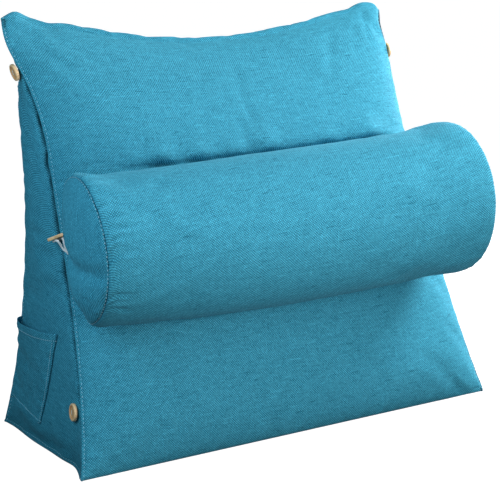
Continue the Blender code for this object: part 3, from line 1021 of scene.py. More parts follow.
@cache
def linen_group() -> Tree:
    """Plain weave of uneven threads: colour, height and roughness from cloth coordinates in metres."""
    graph, given, out = new_group(
        "linen weave",
        {"Weave": VECTOR, "Pitch": 0.001, "Checks": 0.3, "Grain": 0.3, "Threads": 0.5, "Slub": 0.2,
         "Cloud": 0.1, "Dark": COLOUR, "Middle": COLOUR, "Light": COLOUR},
        ("Colour", "Height", "Roughness"),
    )

    def spread(value: object, share: object, rest: object) -> Socket:
        """Centre a value of 0 to 1 on nought, scale it and add it to the rest."""
        return graph.times(graph.math("SUBTRACT", value, 0.5), share, rest)

    def run_noise(along: object, number: object, stretch: float, step: float, floor: float) -> Socket:
        """Noise drawn out along each thread and different from one thread to the next."""
        place = graph.join(graph.times(along, stretch), graph.times(number, step), floor)
        return graph.noise(place, 1.0, 2.0, 0.55)

    across, up, _ = graph.split(graph.scale(given["Weave"], graph.math("DIVIDE", 1.0, given["Pitch"])))
    sway = graph.noise(given["Weave"], 40.0)
    warp, weft = graph.times(sway, 1.7, across), graph.times(sway, -1.5, up)
    warp_number, weft_number = graph.math("FLOOR", warp), graph.math("FLOOR", weft)
    warp_round, weft_round = (graph.math("SINE", graph.times(graph.math("FRACT", run), math.pi))
                              for run in (warp, weft))
    over = graph.math("FLOORED_MODULO", graph.math("ADD", warp_number, weft_number), 2.0)
    crossing = graph.first("ShaderNodeTexWhiteNoise", noise_dimensions="2D",
                           feeds={"Vector": graph.join(warp_number, weft_number)})
    thick_weft = run_noise(warp, weft_number, 0.050, 3.71, 4.0)
    thick_warp = run_noise(weft, warp_number, 0.040, 2.93, 7.0)
    slub = graph.math("SUBTRACT", graph.remap(thick_weft, 0.64, 0.73), graph.remap(thick_weft, 0.36, 0.27))
    slub = graph.times(graph.remap(thick_warp, 0.66, 0.75), 0.6, slub)
    dye = spread(crossing, given["Grain"], 0.5)
    dye = spread(over, given["Checks"], dye)
    dye = spread(run_noise(warp, weft_number, 0.06, 5.17, 9.0), given["Threads"], dye)
    dye = spread(run_noise(weft, warp_number, 0.09, 7.31, 2.0), graph.times(given["Threads"], 0.45), dye)
    dye = spread(graph.noise(given["Weave"], 30.0, 3.0, 0.6), given["Cloud"], dye)
    dye = graph.times(slub, given["Slub"], dye)
    lower = graph.blend(graph.times(dye, 2.0), given["Dark"], given["Middle"])
    upper = graph.math("MAXIMUM", graph.times(dye, 2.0, -1.0), 0.0)
    colour = graph.blend(upper, lower, given["Light"])

    top_thread = graph.first("ShaderNodeMix", {0: over, 2: weft_round, 3: warp_round}, data_type="FLOAT")
    pillow = graph.times(graph.math("POWER", graph.times(warp_round, weft_round), 0.5), top_thread)
    # Painted shade: the colour is darkened in the low gaps between the threads.
    graph.dress(out, {"Colour": graph.scale(colour, graph.remap(pillow, 0.0, 0.55, 0.62, 1.0)),
                      "Height": graph.times(slub, 0.4, graph.times(crossing, 0.15, pillow)),
                      "Roughness": graph.remap(pillow, 0.0, 1.0, 0.95, 0.82)})
    return graph.tree


@cache
def strand_group() -> Tree:
    """Twisted or braided strands round a cord: colour and height from along and around."""
    graph, given, out = new_group(
        "braided strand",
        {"Weave": VECTOR, "Pitch": 0.001, "Girth": 0.009, "Base": COLOUR, "Shade": COLOUR},
        ("Colour", "Height"),
    )
    parts = graph.split(given["Weave"])
    run = graph.times(graph.math("DIVIDE", parts[0], given["Pitch"]), 2 * math.pi)
    lean = graph.times(graph.math("DIVIDE", parts[1], given["Girth"]), 6 * 2 * math.pi)
    one, other = (graph.math("SINE", graph.math(way, run, lean)) for way in ("ADD", "SUBTRACT"))
    height = graph.times(graph.math("MAXIMUM", one, other), 0.5, 0.5)
    # Partly random tone, partly shade painted into the colour in the low parts between the strands.
    share = graph.times(graph.noise(given["Weave"], 900.0), 0.35, graph.times(height, 0.75))
    graph.dress(out, {"Colour": graph.blend(share, given["Shade"], given["Base"]), "Height": height})
    return graph.tree


@cache
def wood_group() -> Tree:
    """Pale turned wood: straight grain, fine pores and tool rings, from the button's own X and Y."""
    graph, given, out = new_group(
        "turned wood",
        {"Face": VECTOR, "Pale": COLOUR, "Grain": COLOUR, "Dish": COLOUR},
        ("Colour", "Height", "Roughness"),
    )
    ring_pitch = 0.00055
    x, y, z = graph.split(given["Face"])
    bands = graph.noise(graph.join(graph.times(x, 0.12), y, z), 620.0, 4.0, 0.6)
    fine = graph.join(graph.times(x, 900.0), graph.times(y, 5200.0), graph.times(z, 5200.0))
    pores = graph.remap(graph.noise(fine, 1.0, 2.0, 0.6), 0.60, 0.72)
    length = graph.add("ShaderNodeVectorMath", {0: graph.join(x, y)}, operation="LENGTH")
    radius = length.outputs["Value"]
    rings = graph.math("SINE", graph.times(radius, 2 * math.pi / ring_pitch))
    inside = graph.remap(radius, 0.0066, 0.0076, 1.0, 0.0)
    wall = graph.times(graph.remap(radius, 0.0062, 0.0072), graph.remap(radius, 0.0077, 0.0084, 1.0, 0.0))
    base = graph.blend(graph.remap(bands, 0.42, 0.68), given["Pale"], given["Grain"])
    dished = graph.blend(graph.times(inside, 0.6), base, given["Dish"])
    walled = graph.blend(graph.times(wall, 0.55), dished, given["Dish"], "MULTIPLY")
    graph.dress(out, {"Colour": graph.blend(graph.times(pores, 0.5), walled, given["Grain"], "MULTIPLY"),
                      "Height": graph.times(rings, 0.25, graph.times(pores, -0.8, bands)),
                      "Roughness": graph.remap(bands, 0.3, 0.8, 0.42, 0.58)})
    return graph.tree


def start_material(name: str, roughness: float) -> tuple[Material, Graph, Node]:
    """Start a Principled material and return it with its graph and shader."""
    material = bpy.data.materials.new(name)
    material.use_nodes = True
    shader = material.node_tree.nodes["Principled BSDF"]
    shader.inputs["Roughness"].default_value = roughness
    return material, Graph(material.node_tree), shader


def place_group(graph: Graph, group: Tree, finish: object) -> Sequence[Socket]:
    """Place a shared group, fed with the UV map and with the finish's values of the same names."""
    node = graph.add("ShaderNodeGroup", node_tree=group)
    graph.feed(node.inputs[0], graph.first("ShaderNodeUVMap", uv_map="weave"))
    for socket in node.inputs[1:]:
        graph.feed(socket, getattr(finish, socket.name.lower()))
    return node.outputs


def bump(graph: Graph, height: Socket, shader: Node, strength: float, distance: float) -> None:
    """Feed a height to a shader's normal through a Bump node."""
    feeds = {"Strength": strength, "Distance": distance, "Height": height}
    graph.feed(shader.inputs["Normal"], graph.first("ShaderNodeBump", feeds))


@dataclass(frozen=True)
class LinenFinish:
    """Slubbed linen-look cloth, woven of darker and lighter threads."""

    name: str
    dark: Colour = (0.014, 0.120, 0.185, 1.0)
    middle: Colour = (0.044, 0.320, 0.465, 1.0)
    light: Colour = (0.110, 0.560, 0.770, 1.0)
    pitch: float = 0.00150
    checks: float = 0.60
    grain: float = 0.26
    threads: float = 0.40
    slub: float = 0.25
    cloud: float = 0.12
    relief: float = 0.00030
    sheen: float = 0.10
    sheen_tint: Colour = (0.40, 0.82, 1.0, 1.0)
    darkest: float = 0.12

    def build(self) -> Material:
        """Make the material."""
        material, graph, shader = start_material(self.name, 0.9)
        weave = place_group(graph, linen_group(), self)
        # Painted shade: the point attribute darkens the colour in grooves, folds and along shaded edges,
        # down to the darkest share.
        hollow = graph.add("ShaderNodeAttribute", attribute_name="hollow").outputs["Fac"]
        shaded = graph.scale(weave["Colour"], graph.remap(hollow, 0.0, 1.0, 1.0, self.darkest))
        graph.dress(shader, {"Base Color": shaded, "Roughness": weave["Roughness"],
                             "Specular IOR Level": 0.06, "Sheen Weight": self.sheen,
                             "Sheen Roughness": 0.35, "Sheen Tint": self.sheen_tint})
        bump(graph, weave["Height"], shader, 0.6, self.relief)
        return material


@dataclass(frozen=True)
class StrandFinish:
    """Braided elastic or sewing thread."""

    name: str
    base: Colour
    shade: Colour
    pitch: float
    girth: float
    relief: float
    roughness: float = 0.7

    def build(self) -> Material:
        """Make the material."""
        material, graph, shader = start_material(self.name, self.roughness)
        braid = place_group(graph, strand_group(), self)
        graph.dress(shader, {"Base Color": braid["Colour"], "Sheen Weight": 0.15})
        bump(graph, braid["Height"], shader, 0.7, self.relief)
        return material


@dataclass(frozen=True)
class WoodFinish:
    """Pale turned wood under a thin satin lacquer."""

    name: str
    pale: Colour = (0.960, 0.640, 0.350, 1.0)
    grain: Colour = (0.780, 0.450, 0.200, 1.0)
    dish: Colour = (0.760, 0.390, 0.150, 1.0)

    def build(self) -> Material:
        """Make the material."""
        material, graph, shader = start_material(self.name, 0.5)
        wood = place_group(graph, wood_group(), self)
        graph.dress(shader, {"Base Color": wood["Colour"], "Roughness": wood["Roughness"],
                             "Coat Weight": 0.25, "Coat Roughness": 0.3})
        bump(graph, wood["Height"], shader, 0.35, 0.0001)
        return material


@dataclass(frozen=True)
class FloorFinish:
    """Plain pale studio floor that glows a little, so that it stays pale far behind the pillow.

    Args:
        name: Name of the material.
        pale: Grey value of the floor as it is seen.
        bounce: Grey value with which it lights the pillow.
        glow: Light that the seen floor gives off by itself.
        lit: Share of the seen floor that takes light and shadow.
    """

    name: str = "pale floor"
    pale: float = 0.90
    bounce: float = 0.08
    glow: float = 0.97
    lit: float = 0.25

    def build(self) -> Material:
        """Make the material."""
        material, graph, shader = start_material(self.name, 0.9)
        cloudy = graph.noise(graph.add("ShaderNodeTexCoord").outputs["Object"], 1.5)
        seen = graph.add("ShaderNodeLightPath").outputs["Is Camera Ray"]
        tone = graph.times(graph.remap(cloudy, 0.2, 0.8, 0.985, 1.0),
                           graph.times(seen, self.pale * self.lit - self.bounce, self.bounce))
        graph.dress(shader, {"Base Color": graph.join(tone, tone, tone), "Specular IOR Level": 0.0,
                             "Emission Color": graph.join(seen, seen, seen),
                             "Emission Strength": self.glow})
        return material


def add_piece(name: str, mesh: Mesh, material: Material) -> Piece:
    """Put a finished mesh in the scene as a piece that rides on the pillow."""
    mesh.name = name
    mesh.materials.clear()
    mesh.materials.append(material)
    piece = put(name, mesh)
    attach(piece, BODY)
    return piece


@dataclass(frozen=True)
class Stitching:
    """Machine stitches along rows, laid by Geometry Nodes.

    Args:
        pitch: Distance from one stitch to the next.
        length: Length of the thread that shows in one stitch.
        thickness: Diameter of the thread.
        seed: Seed of the small unevenness.
        least, most: Range of each stitch's length, breadth and height, as shares of the full ones.
    """

    pitch: float = 0.0050
    length: float = 0.0024
    thickness: float = 0.00085
    seed: int = 5
    least: Triple = (0.88, 0.85, 0.85)
    most: Triple = (1.08, 1.15, 1.10)

    def _tree(self) -> Tree:
        """Build the tree that sets one stitch at every step along each row."""
        tree = bpy.data.node_groups.new("stitch rows", "GeometryNodeTree")
        taken = {"Geometry": "Geometry", "Pitch": "Float", "Length": "Float", "Thickness": "Float",
                 "Seed": "Int", "Thread": "Material"}
        for label, kind in taken.items():
            tree.interface.new_socket(label, in_out="INPUT", socket_type=f"NodeSocket{kind}")
        tree.interface.new_socket("Geometry", in_out="OUTPUT", socket_type="NodeSocketGeometry")
        graph = Graph(tree)
        given = graph.add("NodeGroupInput").outputs
        row = graph.first("GeometryNodeMeshToCurve", {"Mesh": given["Geometry"]})
        steps = graph.first("GeometryNodeResampleCurve", {"Curve": row, "Length": given["Pitch"]},
                            mode="LENGTH")
        tangent = graph.first("GeometryNodeInputTangent")
        outward = graph.first("GeometryNodeInputNamedAttribute", {"Name": "outward"},
                              data_type="FLOAT_VECTOR")
        turn = graph.first("FunctionNodeAlignRotationToVector", {"Vector": tangent}, axis="X")
        stand = graph.first("FunctionNodeAlignRotationToVector", {"Rotation": turn, "Vector": outward},
                            axis="Z", pivot_axis="X")
        bead = graph.first("GeometryNodeMeshUVSphere", {"Segments": 6, "Rings": 5, "Radius": 0.5})
        size = graph.join(given["Length"], given["Thickness"], given["Thickness"])
        shape = graph.first("GeometryNodeTransform", {"Geometry": bead, "Scale": size})
        spread = {0: self.least, 1: self.most, "Seed": given["Seed"]}
        uneven = graph.first("FunctionNodeRandomValue", spread, data_type="FLOAT_VECTOR")
        laid = graph.first("GeometryNodeInstanceOnPoints",
                           {"Points": steps, "Instance": shape, "Rotation": stand, "Scale": uneven})
        real = graph.first("GeometryNodeRealizeInstances", {0: laid})
        smooth = graph.first("GeometryNodeSetShadeSmooth", {0: real})
        dressed = graph.first("GeometryNodeSetMaterial", {"Geometry": smooth, "Material": given["Thread"]})
        graph.add("NodeGroupOutput", {0: dressed})
        return tree

    def lay(self, name: str, rows: Sequence[Arrays], thread: Material, slot: str) -> Piece:
        """Lay stitches along rows of points with outward directions, as one plain mesh."""
        places: list[Sequence[float]] = []
        edges: list[tuple[int, int]] = []
        outward: list[Array] = []
        for line, directions in rows:
            start = len(places)
            places.extend(line.tolist())
            outward.append(directions)
            edges.extend((start + step, start + step + 1) for step in range(len(line) - 1))
        path = new_mesh(f"{name}_path", places, edges, [])
        layer = path.attributes.new("outward", "FLOAT_VECTOR", "POINT")
        layer.data.foreach_set("vector", np.concatenate(outward).astype(np.float32).ravel())
        guide = put(f"{name}_path", path)
        tree = self._tree()
        sewing = guide.modifiers.new("Stitches", "NODES")
        sewing.node_group = tree
        values = {"Pitch": self.pitch, "Length": self.length, "Thickness": self.thickness,
                  "Seed": self.seed, "Thread": thread}
        for item in tree.interface.items_tree:
            if item.in_out == "INPUT" and item.name in values:
                sewing[item.identifier] = values[item.name]
        mesh = finished(guide)
        lay_weave(mesh)
        return add_piece(name, mesh, thread)


def sweep(name: str, route: Array, radius: float, sides: int) -> Mesh:
    """Sweep a round section along a route and close its ends.

    Args:
        name: Name of the mesh.
        route: Points along the middle of the strand.
        radius: Radius of the strand.
        sides: Number of sides of its section.

    Returns:
        A closed mesh whose UV map runs along and around the strand, in metres.
    """
    tangents = np.gradient(route, axis=0)
    tangents /= np.linalg.norm(tangents, axis=1, keepdims=True)
    seed = np.array([0.0, 0.0, 1.0]) if abs(tangents[0][2]) < 0.9 else np.array([1.0, 0.0, 0.0])
    normal = np.cross(tangents[0], seed)
    run = running_length(route[None], 1)[0]
    turns = np.linspace(0, 2 * math.pi, sides, endpoint=False)
    places: list[Array] = []
    for place, tangent in zip(route, tangents):
        normal = normal - tangent * (normal @ tangent)
        normal /= np.linalg.norm(normal)
        side = np.cross(tangent, normal)
        places.extend(place + radius * (math.cos(turn) * normal + math.sin(turn) * side) for turn in turns)
    faces: list[tuple[int, ...]] = []
    weave: list[Pair] = []
    girth = 2 * math.pi * radius
    for ring in range(len(route) - 1):
        for side_number in range(sides):
            after = (side_number + 1) % sides
            base, ahead = ring * sides, (ring + 1) * sides
            faces.append((base + side_number, base + after, ahead + after, ahead + side_number))
            low, high = side_number / sides * girth, (side_number + 1) / sides * girth
            weave.extend([(run[ring], low), (run[ring], high), (run[ring + 1], high), (run[ring + 1], low)])
    last = (len(route) - 1) * sides
    for cap in (tuple(range(sides))[::-1], tuple(range(last, last + sides))):
        faces.append(cap)
        weave.extend([(0.0, 0.0)] * sides)
    mesh = new_mesh(name, [tuple(place) for place in places], [], faces)
    lay_weave(mesh, weave)
    turn_outwards(mesh)
    return mesh


@dataclass
class WedgeCushion:
    """The filled wedge: five panels of cloth, sewn, stuffed and pressed by the bolster."""

    form: WedgeForm
    roll: RollForm
    across: Grading = Grading(106, SEAM_ROWS, SEAM_ROWS)
    upward: Grading = Grading(176, SEAM_ROWS, (0.0,), Bulge(5.0, 0.660, 0.035))
    sideways: Grading = Grading(28, SEAM_ROWS, SEAM_ROWS)
    ridge_rows: int = 7
    seat_gap: float = 0.0034
    seat_shoulder: float = 0.0022
    seat_fade: float = 0.030
    seat_lip: float = 0.0045
    seat_lip_reach: float = 0.014
    seat_lip_ends: float = 0.15
    front_skin: float = 0.004
    stitch_off: float = 0.00015
    front_seam: SeamRelief = SeamRelief(0.0006, 0.0003, 0.0040, 0.0007, 0.0007)
    # Painted shade strip along the front's right edge: its darkness, the softness of its border, and its
    # spans (middle, reach and width along the edge).
    edge_shade: float = 0.85
    turned_softness: float = 0.0005
    turned_edges: tuple[Triple, ...] = ((0.530, 0.024, 0.0052), (0.055, 0.050, 0.0030))
    side_seam: SeamRelief = SeamRelief(0.0050, 0.0, 0.0, 0.0, 0.0009, 0.016, 0.014, 0.0030, 0.0028, 1.0)
    foot_shade: float = 0.45
    foot_shade_reach: float = 0.034
    foot_seam: SeamRelief = SeamRelief(0.0005, 0.0, 0.0, 0.0, 0.0013, 0.022, 0.016, 0.0, 0.0030, 0.45)
    back_seam: SeamRelief = SeamRelief(0.0013, 0.0004, 0.0050, 0.0006, 0.0006)
    base_seam: SeamRelief = SeamRelief(0.0005, 0.0005, 0.0040, 0.0005, 0.0006, 0.018, 0.014)
    slackening: Slackening = Slackening(slack=0.006, cap=0.0018)
    front_creases: tuple[Crease, ...] = (
        Crease((0.020, 0.545), (0.068, 0.478), 0.0065, 0.0013, 0.003),
        Crease((0.052, 0.556), (0.104, 0.503), 0.0060, 0.0008, -0.002),
        Crease((0.236, 0.560), (0.274, 0.517), 0.0050, 0.0014, 0.002),
        Crease((0.494, 0.552), (0.437, 0.468), 0.0065, 0.0011, -0.004),
        Crease((0.518, 0.552), (0.471, 0.483), 0.0055, -0.0008, 0.002),
        Crease((0.541, 0.552), (0.524, 0.500), 0.0036, 0.0018, 0.001),
        Crease((0.379, 0.530), (0.384, 0.465), 0.0100, 0.0006, 0.003),
        Crease((0.400, 0.508), (0.407, 0.440), 0.0100, 0.0006, -0.003),
        Crease((0.423, 0.452), (0.407, 0.384), 0.0022, 0.0005, 0.001),
        Crease((0.012, 0.042), (0.040, 0.012), 0.0050, 0.0020, 0.002),
        Crease((0.040, 0.040), (0.064, 0.016), 0.0060, 0.0012, -0.002),
        Crease((0.180, 0.094), (0.166, 0.052), 0.0090, 0.0009, 0.002),
        Crease((0.090, 0.122), (0.085, 0.080), 0.0085, 0.0008, -0.002),
        Crease((0.262, 0.100), (0.276, 0.070), 0.0100, 0.0006, 0.002),
        Crease((0.480, 0.070), (0.545, 0.020), 0.0090, 0.0015, 0.004),
        Crease((0.548, 0.030), (0.576, 0.008), 0.0042, -0.0018, 0.0),
    )
    tuck: Overhang = Overhang((0.105, 0.3622), (0.480, 0.3705))
    side_creases: tuple[Crease, ...] = (
        Crease((0.012, 0.281), (0.080, 0.256), 0.0050, 0.0016, -0.003),
        Crease((0.012, 0.262), (0.060, 0.222), 0.0055, 0.0012, 0.003),
        Crease((0.195, 0.012), (0.060, 0.016), 0.0060, 0.0022, 0.006),
        Crease((0.200, 0.034), (0.150, 0.026), 0.0050, -0.0014, 0.002),
        Crease((0.010, 0.445), (0.034, 0.400), 0.0050, 0.0014, 0.002),
    )
    sewn: SewnCloth = field(init=False)

    def _panels(self) -> list[Panel]:
        """Lay out the five panels and the fold over the ridge, with shared edges."""
        form = self.form
        walls: dict[str, tuple[Chart, Grading]] = {
            "front": (lambda a, u: form.point(a, -1.0, u), self.across),
            "back": (lambda a, u: form.point(a, 1.0, u), self.across),
            "left": (lambda d, u: form.point(-1.0, d, u), self.sideways),
            "right": (lambda d, u: form.point(1.0, d, u), self.sideways),
        }
        shares: dict[str, Arrays] = {}
        points: dict[str, Array] = {}
        for name, (chart, columns) in walls.items():
            shares[name] = spread_grid(chart, columns, self.upward, -1.0, 1.0, 0.0, 1.0)
            points[name] = chart(*shares[name])
        for side, column in (("left", 0), ("right", -1)):
            points[side][:, 0] = points["front"][:, column]
            points[side][:, -1] = points["back"][:, column]
        ridge = np.linspace(-1, 1, self.ridge_rows)
        for name, level, deep in (("base", 0, shares["left"][0][0]), ("ridge", -1, ridge)):
            blend = ((deep + 1) / 2)[:, None]
            across = between((shares["front"][0][level], shares["back"][0][level]), blend)
            grid = form.point(across, deep[:, None], float(name == "ridge"))
            if name == "ridge":
                finer = smooth_weights(np.linspace(0, 1, len(deep)), np.linspace(0, 1, self.sideways.count))
                grid = np.einsum("ri,ick->rck", finer, grid)
            grid[0], grid[-1] = points["front"][level], points["back"][level]
            grid[:, 0], grid[:, -1] = points["left"][level], points["right"][level]
            points[name] = grid
        panels = [Panel(name, points[name], columns, self.upward) for name, (_, columns) in walls.items()]
        return panels + [Panel(name, points[name], self.across, self.sideways) for name in ("base", "ridge")]

    def _press_seams(self, panels: Sequence[Panel]) -> None:
        """Press seams, stitches and gathers into the panels, and paint shade into the colour along grooves,
        the front's right edge and the side panels' feet.
        """
        front, back, left, right, base = panels[:5]
        for edge, seed in ((Edge.START, 11), (Edge.END, 21)):
            self.front_seam.press(front, edge, seed)
            self.side_seam.press(back, edge, seed + 2)
        # Painted shade: a dark strip along the front's right edge near the top and the foot, standing in for
        # the shaded side panel where it turns round.
        away, along = front.from_edge(Edge.END)
        for middle, reach, width in self.turned_edges:
            turned = soft_step(width - away, self.turned_softness)
            front.darken(turned * self.edge_shade * np.exp(-((along - middle) / reach) ** 4))
        for panel, seed in ((left, 31), (right, 41)):
            self.side_seam.press(panel, Edge.START, seed)
            self.back_seam.press(panel, Edge.END, seed + 2)
            self.base_seam.press(panel, Edge.FOOT, seed + 4)
            # Painted shade along the foot of each side panel, darker towards the bottom where the bulging
            # side faces down.
            away, _ = panel.from_edge(Edge.FOOT)
            panel.darken(self.foot_shade * dome(away, self.foot_shade_reach))
        for panel, seed in ((front, 51), (back, 61)):
            self.foot_seam.press(panel, Edge.FOOT, seed)
        for edge in Edge:
            away, _ = base.from_edge(edge)
            base.lift -= self.foot_seam.groove * dome(away, self.foot_seam.dent_width)

    def _press_seat(self, places: Array) -> Array:
        """Push points of the wedge out of the bolster, with a soft lip round the seat."""
        local = self.roll.local(places)
        near = np.hypot(local[:, 0], local[:, 1]) - (self.roll.radius_left + self.roll.radius_right) / 2
        ends = self.seat_lip_ends
        inside = np.clip(1 + ends - np.abs(local[:, 2]) / self.roll.length * 2, 0.0, ends) / ends
        lip = self.seat_lip * inside * dome(near, self.seat_lip_reach)
        off_front = np.array([0.0, -math.cos(self.form.lean), math.sin(self.form.lean)])
        on_front = places[:, 1] < self.form.seam_y(-1, places[:, 2] / self.form.height) + self.front_skin
        places = places + off_front * (lip * on_front)[:, None]
        local = self.roll.local(places)
        half = self.roll.length / 2
        beyond = np.clip((np.abs(local[:, 2]) - half) / self.seat_fade, 0.0, 1.0)
        fade = 1 - beyond * beyond * (3 - 2 * beyond)
        share = np.clip(local[:, 2] / half, -1.0, 1.0)
        radius = np.maximum(np.hypot(local[:, 0], local[:, 1]), 1e-6)
        turn = np.arctan2(local[:, 1], local[:, 0])
        wanted = (self.roll.radius(share, turn) + self.seat_gap) * fade
        excess = np.clip((radius - wanted) / self.seat_shoulder, -STEEPEST, STEEPEST)
        pressed = np.maximum(radius, wanted + self.seat_shoulder * np.log1p(np.exp(excess)))
        pressed = np.where(excess < 8.0, pressed, radius)
        local[:, :2] *= (pressed / radius)[:, None]
        return self.roll.world(local)

    def build(self, cloth: Material) -> Piece:
        panels = self._panels()
        self.slackening.settle(panels)
        self._press_seams(panels)
        for panel, creases in ((panels[0], self.front_creases), (panels[2], self.side_creases)):
            for crease in creases:
                crease.press(panel)
        self.tuck.press(panels[0])
        self.sewn = SewnCloth("wedge_cover", panels)
        self.sewn.raise_relief()
        places = self._press_seat(self.sewn.places)
        places[:, 2] = np.maximum(places[:, 2], 0.0)
        self.sewn.set_places(places)
        piece = add_piece("wedge_cover", self.sewn.mesh, cloth)
        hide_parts("wedge_cushion")
        return piece

    def stitch_rows(self) -> list[Arrays]:
        """Rows of stitches that show: beside the front seams, the back seams and the side feet."""
        every, front, back = slice(None), FRONT_STITCH_ROW, BACK_STITCH_ROW
        stitched = ((0, every, front), (0, every, -1 - front), (2, every, -1 - back),
                    (3, every, -1 - back), (2, front, every), (3, front, every))
        return [self.sewn.line(*where, self.stitch_off) for where in stitched]


@dataclass
class Bolster:
    """The round filled roll with its two sewn end discs."""

    form: RollForm
    along: Grading = Grading(84, SEAM_ROWS, SEAM_ROWS)
    around: Grading = Grading(176)
    inward: Grading = Grading(15, SEAM_ROWS, (0.0,))
    seam_turn_deg: float = 60.0
    rim_seam: SeamRelief = SeamRelief(0.0024, 0.0, 0.0, 0.0, 0.0016, 0.012, 0.016, shade=0.75)
    disc_seam: SeamRelief = SeamRelief(0.0012, 0.0, 0.0, 0.0, 0.0009, 0.017, 0.014, shade=0.5)
    slackening: Slackening = Slackening(pressure=3.0, slack=0.005, stride=4, cap=0.0010)
    body_creases: tuple[Crease, ...] = (
        Crease((0.004, 218), (0.024, 221), 0.0026, 0.0014),
        Crease((0.003, 228), (0.030, 230), 0.0028, 0.0018, 0.001),
        Crease((0.003, 238), (0.026, 240), 0.0026, 0.0016),
        Crease((0.003, 247), (0.040, 249), 0.0030, 0.0024, 0.001),
        Crease((0.003, 269), (0.034, 268), 0.0030, 0.0020, -0.001),
        Crease((0.003, 284), (0.024, 286), 0.0024, 0.0010),
        Crease((0.003, 300), (0.034, 304), 0.0030, 0.0022, 0.001),
        Crease((0.003, 312), (0.030, 319), 0.0030, 0.0020, 0.002),
        Crease((0.400, 187), (0.424, 196), 0.0026, 0.0016, 0.002),
        Crease((0.380, 184), (0.408, 204), 0.0060, 0.0014, 0.003),
        Crease((0.470, 182), (0.500, 205), 0.0034, 0.0022, 0.003),
        Crease((0.482, 180), (0.508, 196), 0.0030, 0.0018, 0.002),
        Crease((0.200, 176), (0.260, 186), 0.0060, 0.0010, 0.002),
    )
    disc_creases: tuple[Crease, ...] = (
        Crease((0.006, 232), (0.045, 240), 0.0050, 0.0018, 0.002),
        Crease((0.006, 252), (0.040, 262), 0.0045, 0.0016, 0.002),
        Crease((0.006, 330), (0.035, 340), 0.0050, 0.0012, 0.002),
    )
    stitch_off: float = 0.0013
    sewn: SewnCloth = field(init=False)

    def _panels(self) -> list[Panel]:
        """Lay out the body and the two discs, which share their rims."""
        start = math.radians(self.seam_turn_deg)
        half = self.form.length / 2
        shares = self.along.places(self.form.length) / half - 1
        turns = start + np.linspace(0, 2 * math.pi, self.around.count)
        body_points = self.form.body(*np.meshgrid(shares, turns))
        body_points[-1] = body_points[0]
        panels = [Panel("body", body_points, self.along, self.around)]
        for side, column in ((Side.LEFT, 0), (Side.RIGHT, -1)):
            rim = self.form.radius_left
            steps = self.inward.places(rim) / rim
            disc_points = self.form.disc(side, *np.meshgrid(steps, turns))
            disc_points[-1] = disc_points[0]
            disc_points[:, 0] = body_points[:, column]
            disc_points[:, -1] = disc_points[:1, -1]
            disc = Panel(f"disc_{side.word}", disc_points, self.inward, self.around)
            disc.weave = self.form.local(disc_points)[..., :2]
            panels.append(disc)
        return panels

    def _from_turns(self, panel: Panel, crease: Crease) -> Crease:
        """Turn a crease given by distance and degrees round the roll into distances on the cloth."""
        round_rim = running_length(panel.points, 0)[:, 0]
        degrees = self.seam_turn_deg + np.linspace(0, 360, len(round_rim))

        def place(spot: Pair) -> Pair:
            """One end of the crease."""
            return spot[0], float(np.interp(spot[1], degrees, round_rim))

        return replace(crease, start=place(crease.start), end=place(crease.end))

    def build(self, cloth: Material) -> Piece:
        panels = self._panels()
        self.slackening.settle(panels)
        body, left, right = panels
        for edge, seed, pucker in ((Edge.START, 71, 0.0016), (Edge.END, 81, 0.0007)):
            replace(self.rim_seam, pucker=pucker).press(body, edge, seed)
        for disc, seed in ((left, 91), (right, 101)):
            self.disc_seam.press(disc, Edge.START, seed)
        for panel, creases in ((body, self.body_creases), (left, self.disc_creases)):
            for crease in creases:
                self._from_turns(panel, crease).press(panel)
        for panel in panels:
            panel.lift[-1] = panel.lift[0]
        for disc in (left, right):
            disc.lift[:, -1] = disc.lift[:, -1].mean()
        self.sewn = SewnCloth("bolster_cover", panels)
        self.sewn.raise_relief()
        piece = add_piece("bolster_cover", self.sewn.mesh, cloth)
        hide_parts("bolster")
        return piece

    def stitch_rows(self) -> list[Arrays]:
        """A row of stitches that bridges the groove of each rim seam."""
        return [self.sewn.line(0, slice(None), column, self.stitch_off) for column in (1, -2)]


